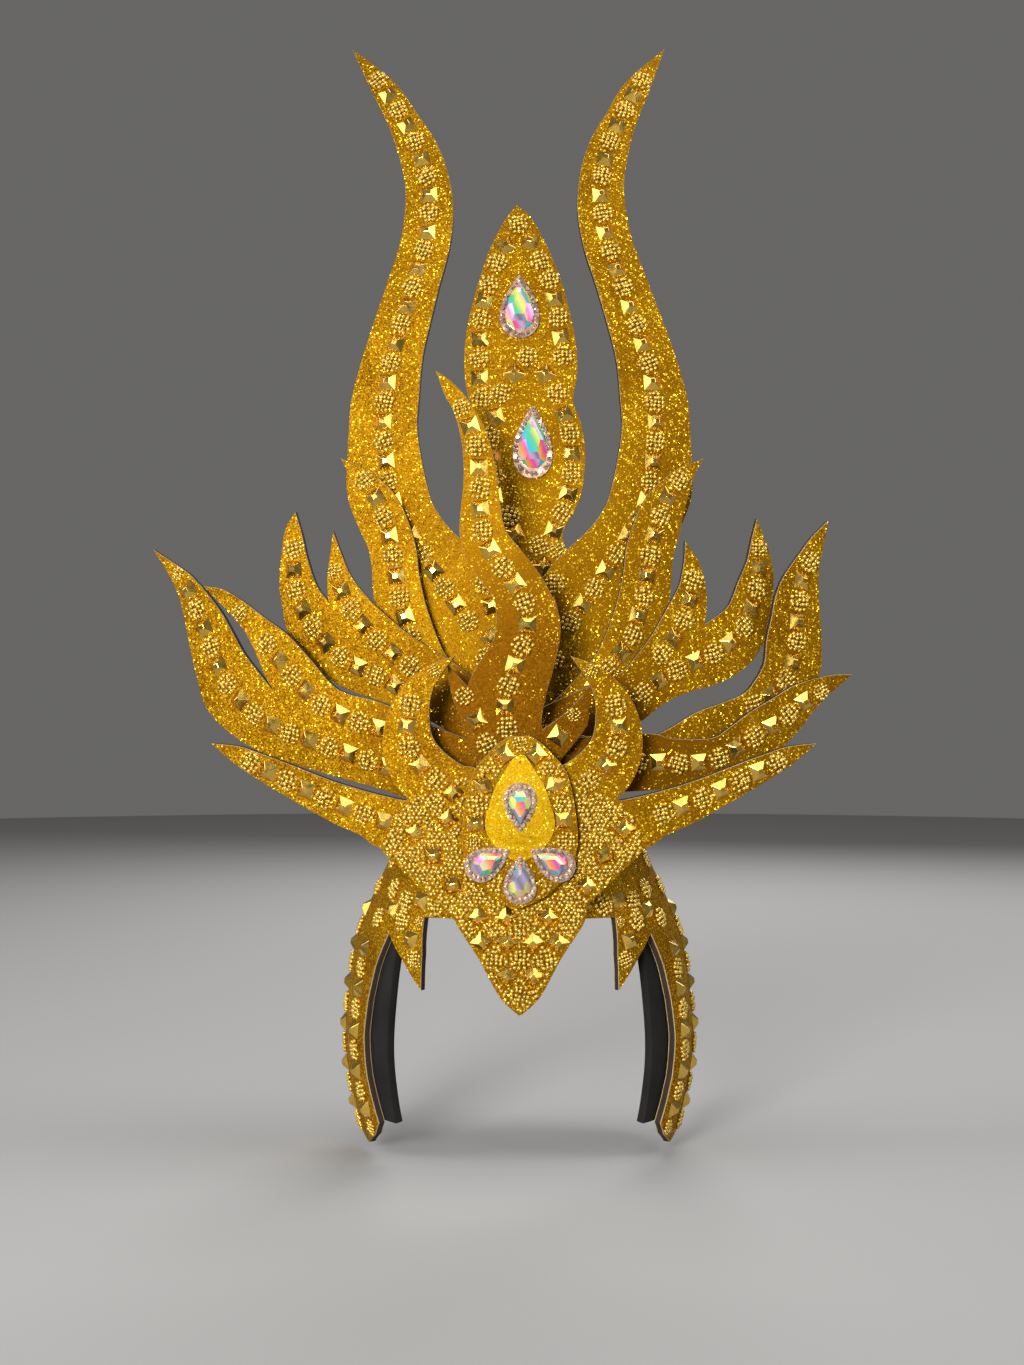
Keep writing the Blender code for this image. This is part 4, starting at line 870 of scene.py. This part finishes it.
CURL_ROWS = (
    (0.62, 0.1, 0.1, 0.3), (0.794, 0.214, 0.286, 0.393), (0.905, 0.301, 0.389, 0.409),
    (0.981, 0.42, 0.534, 0.485), (1.0, 0.544, 0.618, 0.572), (0.966, 0.679, 0.637, 0.707),
    (0.889, 0.788, 0.61, 0.815), (0.763, 0.891, 0.56, 0.88), (0.595, 0.961, 0.534, 0.911),
    (0.439, 1.0, 0.439, 1.0),
)
MEDALLION_HALF_WIDTH = 0.031
MEDALLION_HEIGHT = 0.096
MEDALLION_FOOT_Z = -0.058
MEDALLION_ROWS = (
    (0.0, 0.0), (0.36, 0.05), (0.62, 0.115), (0.82, 0.19), (0.94, 0.27), (1.0, 0.38), (0.985, 0.485),
    (0.94, 0.59), (0.87, 0.7), (0.76, 0.79), (0.58, 0.86), (0.4, 0.92), (0.2, 0.965), (0.0, 1.0),
)


def both_halves(rows, half_width, height, foot_x, foot_z):
    """A flame whose inner edge mirrors its outer edge."""
    doubled = tuple((half, up, -half, up) for half, up in rows)
    return Flame(1, half_width, height, foot_x, foot_z, doubled)


def bead_field(node, face, loops, studs, patches, covers):
    """Beads set close together over the rest of a sheet, round its studs, patches and covers."""
    places = []
    across, up = BEAD * 1.04, BEAD * 0.9
    corners = [p for loop in loops for p in loop]
    left, foot = min(p.x for p in corners), min(p.y for p in corners)
    for row in range(int((max(p.y for p in corners) - foot) / up)):
        for column in range(int((max(p.x for p in corners) - left) / across)):
            x = left + (column + row % 2 / 2 + rng.uniform(-0.25, 0.25)) * across
            spot = Vector((x, foot + (row + rng.uniform(-0.25, 0.25)) * up))
            beside = [max(abs((spot - p) @ along), abs((spot - p).cross(along))) for p, along in studs]
            if min(beside) < STUD_SIDE / 2 + BEAD / 3 or not clear_of(spot, patches, PATCH_HALF + BEAD / 4):
                continue
            on = any(inside(spot, loop) and nearest_edge(spot, loop) > BEAD * 0.8 for loop in loops)
            if on and not any(inside(spot, loop) or nearest_edge(spot, loop) < BEAD * 0.7 for loop in covers):
                places.append(set_on(face, spot, UP))
    beads = []
    for _ in range(40):
        shape = bmesh.new()
        add_bead(shape, Vector((0.0, 0.0, BEAD * rng.uniform(0.0, 0.5))))
        beads.append(shape)
    finished(node + "_bead_field", repeated(beads, places), [bead_gold], corner=180)


medallion_petal = both_halves(MEDALLION_ROWS, MEDALLION_HALF_WIDTH, MEDALLION_HEIGHT, 0.0, MEDALLION_FOOT_Z)
body = both_halves(PLATE_ROWS, PLATE_HALF_WIDTH, PLATE_HEIGHT, PLATE_X, BROW_Z)
point = both_halves(POINT_ROWS, POINT_HALF_WIDTH, POINT_HEIGHT, 0.0, POINT_FOOT_Z)
flames = [body, point]
studs = single_places(PLATE_STUDS, PLATE_HALF_WIDTH, PLATE_HEIGHT, (PLATE_X, BROW_Z))
studs += single_places(POINT_STUDS, POINT_HALF_WIDTH, POINT_HEIGHT, (0.0, POINT_FOOT_Z))
patches = single_places(POINT_BEADS, POINT_HALF_WIDTH, POINT_HEIGHT, (0.0, POINT_FOOT_Z))
for side, spike_reach in ((-1, SPIKE_LEFT_REACH), (1, SPIKE_RIGHT_REACH)):
    spike = Flame(side, spike_reach, SPIKE_RISE, PLATE_X, SPIKE_FOOT_Z, SPIKE_ROWS)
    curl = Flame(side, CURL_REACH, CURL_RISE, PLATE_X, CURL_FOOT_Z, CURL_ROWS)
    flames += [spike, curl]
    add_trail(studs, patches, spike, 0.5, 3.15, 4)
    add_trail(studs, patches, curl, 0.5, 2.20, 4)
loops, covers = [outline_of(flame) for flame in flames], [outline_of(medallion_petal)]
pads = [(-MIDDLE_PAD_HALF_WIDTH, MIDDLE_PAD_HALF_WIDTH, PLATE_PAD_Z, SPACER)]
studs, patches = dressed_sheet("front_plate", stack_face(0), loops, studs, patches, covers, pads)
bead_field("front_plate", stack_face(0), loops[:2], studs, patches, covers)

# Medallion: a lotus petal of glittered foam that lies on the plate, under the four crystals.
# Studs and beads cover its border, and a small petal of brighter glitter is glued on its middle.
MEDALLION_STUDS = (
    (-0.27, 0.865, 43), (0.27, 0.865, 47), (-0.63, 0.69, 15), (0.61, 0.7, -18), (-0.76, 0.48, 5),
    (0.74, 0.5, -4),
)
MEDALLION_BEADS = (
    (0.0, 0.925, 0), (-0.46, 0.785, 0), (0.46, 0.785, 0), (-0.73, 0.585, 0), (0.72, 0.6, 0),
    (-0.8, 0.375, 0), (0.8, 0.385, 0), (-0.56, 0.17, 0), (0.56, 0.17, 0),
)
INNER_HALF_WIDTH = 0.020
INNER_HEIGHT = 0.063
INNER_FOOT_Z = -0.033
INNER_SKIN = 0.0010
INNER_ROWS = (
    (0.0, 0.0), (0.4, 0.06), (0.75, 0.17), (0.93, 0.3), (0.9, 0.42), (0.8, 0.52), (0.66, 0.65), (0.4, 0.79),
    (0.13, 0.92), (0.0, 1.0),
)
PETAL_CRYSTAL = (0.018, 0.027)
PETAL_CENTRE_Z = -0.0226
PETAL_RADIUS = 0.0195
PETAL_BEARINGS = (("top", 90), ("left", 210), ("right", 330), ("bottom", 270))
petal_places = []
for name, bearing in PETAL_BEARINGS:
    angle = math.radians(bearing)
    middle = Vector((math.cos(angle), math.sin(angle))) * PETAL_RADIUS + Vector((0.0, PETAL_CENTRE_Z))
    petal_places.append(("petal_crystal_" + name, middle, angle + math.pi / 2))
stones = [teardrop(middle, PETAL_CRYSTAL, turn) for _, middle, turn in petal_places]
foot = (0.0, MEDALLION_FOOT_Z)
studs = single_places(MEDALLION_STUDS, MEDALLION_HALF_WIDTH, MEDALLION_HEIGHT, foot)
patches = single_places(MEDALLION_BEADS, MEDALLION_HALF_WIDTH, MEDALLION_HEIGHT, foot)
low_face, loops = stack_face(-1), [outline_of(medallion_petal)]
studs, patches = dressed_sheet("medallion", low_face, loops, studs, patches, stones)
inner = outline_of(both_halves(INNER_ROWS, INNER_HALF_WIDTH, INNER_HEIGHT, 0.0, INNER_FOOT_Z))
bead_field("medallion", low_face, loops, studs, patches, [*stones, inner])
cut_sheet(
    "medallion_inner_petal", [inner], lambda x, z: low_face(x, z) - Vector((0.0, INNER_SKIN, 0.0)),
    INNER_SKIN, [bright_glitter, vinyl_edge, brown_foam], 0.008, skin=INNER_SKIN / 4,
)

# Crystals: cut glass teardrops with a coloured coating, its bands of colour painted on each facet as a
# painted reflection.
# Two sit on the leaf and four on the medallion, each glued on in a metal rim set with tiny pale pink stones.
RIM_WIDTH = 0.0029
RIM_HEIGHT = 0.0026
CRYSTAL_HEIGHT = 0.0060
SETTING_HEIGHT = 0.0009


def crystal_material():
    """Coated glass, opaque here, under a glassy face: the coating's colours as a painted reflection on each
    facet.
    """
    shade, surface, add, wire = node_tree("coated crystal", 0.16, 0.18)
    place = add("TexCoord").outputs["Object"]
    # Painted reflection: the coating's colours are real, but which band, grey or dark tone each facet shows
    # is fixed by the way it faces and by its place.
    facing = add("NewGeometry").outputs["True Normal"]
    slant = add("VectorMath", [(facing, 0)], operation="DOT_PRODUCT", in_1=(0.55, 0.30, 0.75))
    drift = add("VectorMath", [(place, 0)], operation="DOT_PRODUCT", in_1=(30.0, 0.0, 16.0))
    both = add("Math", [(slant.outputs["Value"], 0), (drift.outputs["Value"], 1)], operation="ADD")
    share = add("Math", [(both.outputs[0], 0)], operation="FRACT")
    tone = add("ValToRGB", [(share.outputs[0], "Fac")])
    ramp(tone, (
        (0.0, (0.34, 0.32, 0.42)), (0.11, (0.04, 0.52, 0.62)), (0.24, (0.14, 0.55, 0.24)),
        (0.36, (0.8, 0.76, 0.12)), (0.46, (0.6, 0.54, 0.42)), (0.56, (0.95, 0.3, 0.04)),
        (0.67, (0.76, 0.05, 0.3)), (0.78, (0.5, 0.36, 0.62)), (0.89, (0.16, 0.16, 0.22)),
        (1.0, (0.34, 0.32, 0.42)),
    ))
    wire(tone.outputs["Color"])
    surface.inputs["Coat Weight"].default_value = 0.35
    surface.inputs["Coat Roughness"].default_value = 0.02
    return shade


def rim_stone():
    """A tiny round stone with a table, set a little askew."""
    shape = bmesh.new()
    turn = math.radians(rng.uniform(0, 20))
    lean = Matrix.Rotation(turn, 4, Vector((rng.uniform(-1, 1), rng.uniform(-1, 1), 0)))
    bmesh.ops.create_cone(
        shape, cap_ends=True, segments=8, radius1=RIM_WIDTH * 0.55, radius2=RIM_WIDTH * 0.33,
        depth=RIM_HEIGHT, matrix=Matrix.Translation((0, 0, RIM_HEIGHT / 2)) @ lean,
    )
    return shape


def hull(levels, size, turn, seat):
    """The hull of teardrops one above the other, each given by its scale, height and number of corners."""
    shape = bmesh.new()
    for scale, height, sides in levels:
        for p in teardrop(Vector((0, 0)), size, turn, scale, sides):
            shape.verts.new((p.x, p.y, height))
    bmesh.ops.convex_hull(shape, input=shape.verts[:])
    bmesh.ops.transform(shape, matrix=seat, verts=shape.verts[:])
    return shape


def cut_crystal(node, layer, middle, size, turn):
    """A faceted teardrop cut as the hull of its girdle, crown and table corners, in its setting and rim."""
    seat = set_on(stack_face(layer), middle, UP, GAP)
    inner = 1 - 2 * RIM_WIDTH / size[0]
    cuts = ((1.0, 0.0010, 12), (1.0, 0.0018, 12), (0.80, 0.0044, 6), (0.52, CRYSTAL_HEIGHT, 6))
    shape = hull([(inner * scale, height, sides) for scale, height, sides in cuts], size, turn, seat)
    bmesh.ops.dissolve_limit(shape, angle_limit=math.radians(2), verts=shape.verts[:], edges=shape.edges[:])
    stone = finished(node + "_stone", shape, [coated_glass], corner=5)
    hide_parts(node)
    shape = hull(((1.0, 0.0, 24), (1.0, SETTING_HEIGHT, 24)), size, turn, seat)
    finished(node + "_setting", shape, [rose_metal])
    line = teardrop(Vector((0, 0)), size, turn, 1 - RIM_WIDTH / size[0], 120)
    steps = [(b - a).length for a, b in zip(line, line[1:] + line[:1])]
    count = round(sum(steps) / RIM_WIDTH)
    places, walked = [], 0.0
    for spot, step in zip(line, steps):
        if walked >= len(places) * sum(steps) / count:
            places.append(seat @ Matrix.Translation((spot.x, spot.y, 0)))
        walked += step
    shape = repeated([rim_stone() for _ in range(11)], places)
    finished(node + "_rim", shape, [rose_silver], corner=5)


coated_glass = crystal_material()
# The rim stones' tone drops at random to 0.35 of the full colour, a painted glint: some stones are painted
# bright, some dark.
rose_silver = metal_material("rose rim stone", (1.0, 0.80, 0.68), 0.10, 0.7, 420, 0.35)
rose_metal = metal_material("rose setting", (0.62, 0.40, 0.28), 0.3, 0.8)
for node, middle, size in leaf_crystals:
    cut_crystal(node, STACK.index("leaf"), middle, size, 0.0)
for node, middle, turn in petal_places:
    cut_crystal(node, -1, middle, PETAL_CRYSTAL, turn)

# Studio: a plain pale floor just under the arms, soft lights and the camera, level in front of the crown.
# The key light's beam is narrower than the others', which keeps the floor in front of the crown even.
FLOOR_Z = -0.205
CAMERA_PLACE = (-0.0043, -1.2, 0.0635)
LENS_LENGTH = 53.7
KEY_BEAM = 80
shape = bmesh.new()
level = Matrix.Translation((0, 0, FLOOR_Z))
bmesh.ops.create_circle(shape, cap_ends=True, segments=64, radius=3.0, matrix=level)
mesh = bpy.data.meshes.new("floor")
shape.to_mesh(mesh)
shape.free()
floor = linked("floor", mesh)
shade, surface, _, _ = node_tree("pale floor", 0.9, 0.0)
surface.inputs["Base Color"].default_value = (0.37, 0.365, 0.36, 1)
mesh.materials.append(shade)
for name, place, size, power in (
    ("key", (-0.6, -1.85, 0.42), 0.6, 9.2), ("top", (0.2, -0.3, 1.7), 0.9, 10),
    ("left", (-1.6, -0.3, 0.8), 0.9, 11), ("right", (1.7, -0.4, 1.1), 0.9, 12),
    ("back", (0.3, 1.6, 1.0), 1.0, 18),
):
    light = bpy.data.lights.new(name, "AREA")
    light.energy, light.size = power, size
    lamp = linked(name, light)
    lamp.location = place
    lamp.rotation_euler = (Vector((0, -0.05, 0.08)) - Vector(place)).to_track_quat("-Z", "Y").to_euler()
bpy.data.lights["key"].spread = math.radians(KEY_BEAM)
world = bpy.data.worlds.new("studio")
world.use_nodes = True
sky = world.node_tree.nodes["Background"]
sky.inputs["Color"].default_value = (0.62, 0.61, 0.60, 1)
sky.inputs["Strength"].default_value = 0.22
bpy.context.scene.world = world
bpy.context.scene.view_settings.view_transform = "Standard"
lens = bpy.data.cameras.new("camera")
lens.sensor_fit = "VERTICAL"
lens.sensor_height = 36.0
lens.lens = LENS_LENGTH
camera = linked("camera", lens)
camera.location = CAMERA_PLACE
camera.rotation_euler = (math.radians(90), 0, 0)
bpy.context.scene.camera = camera
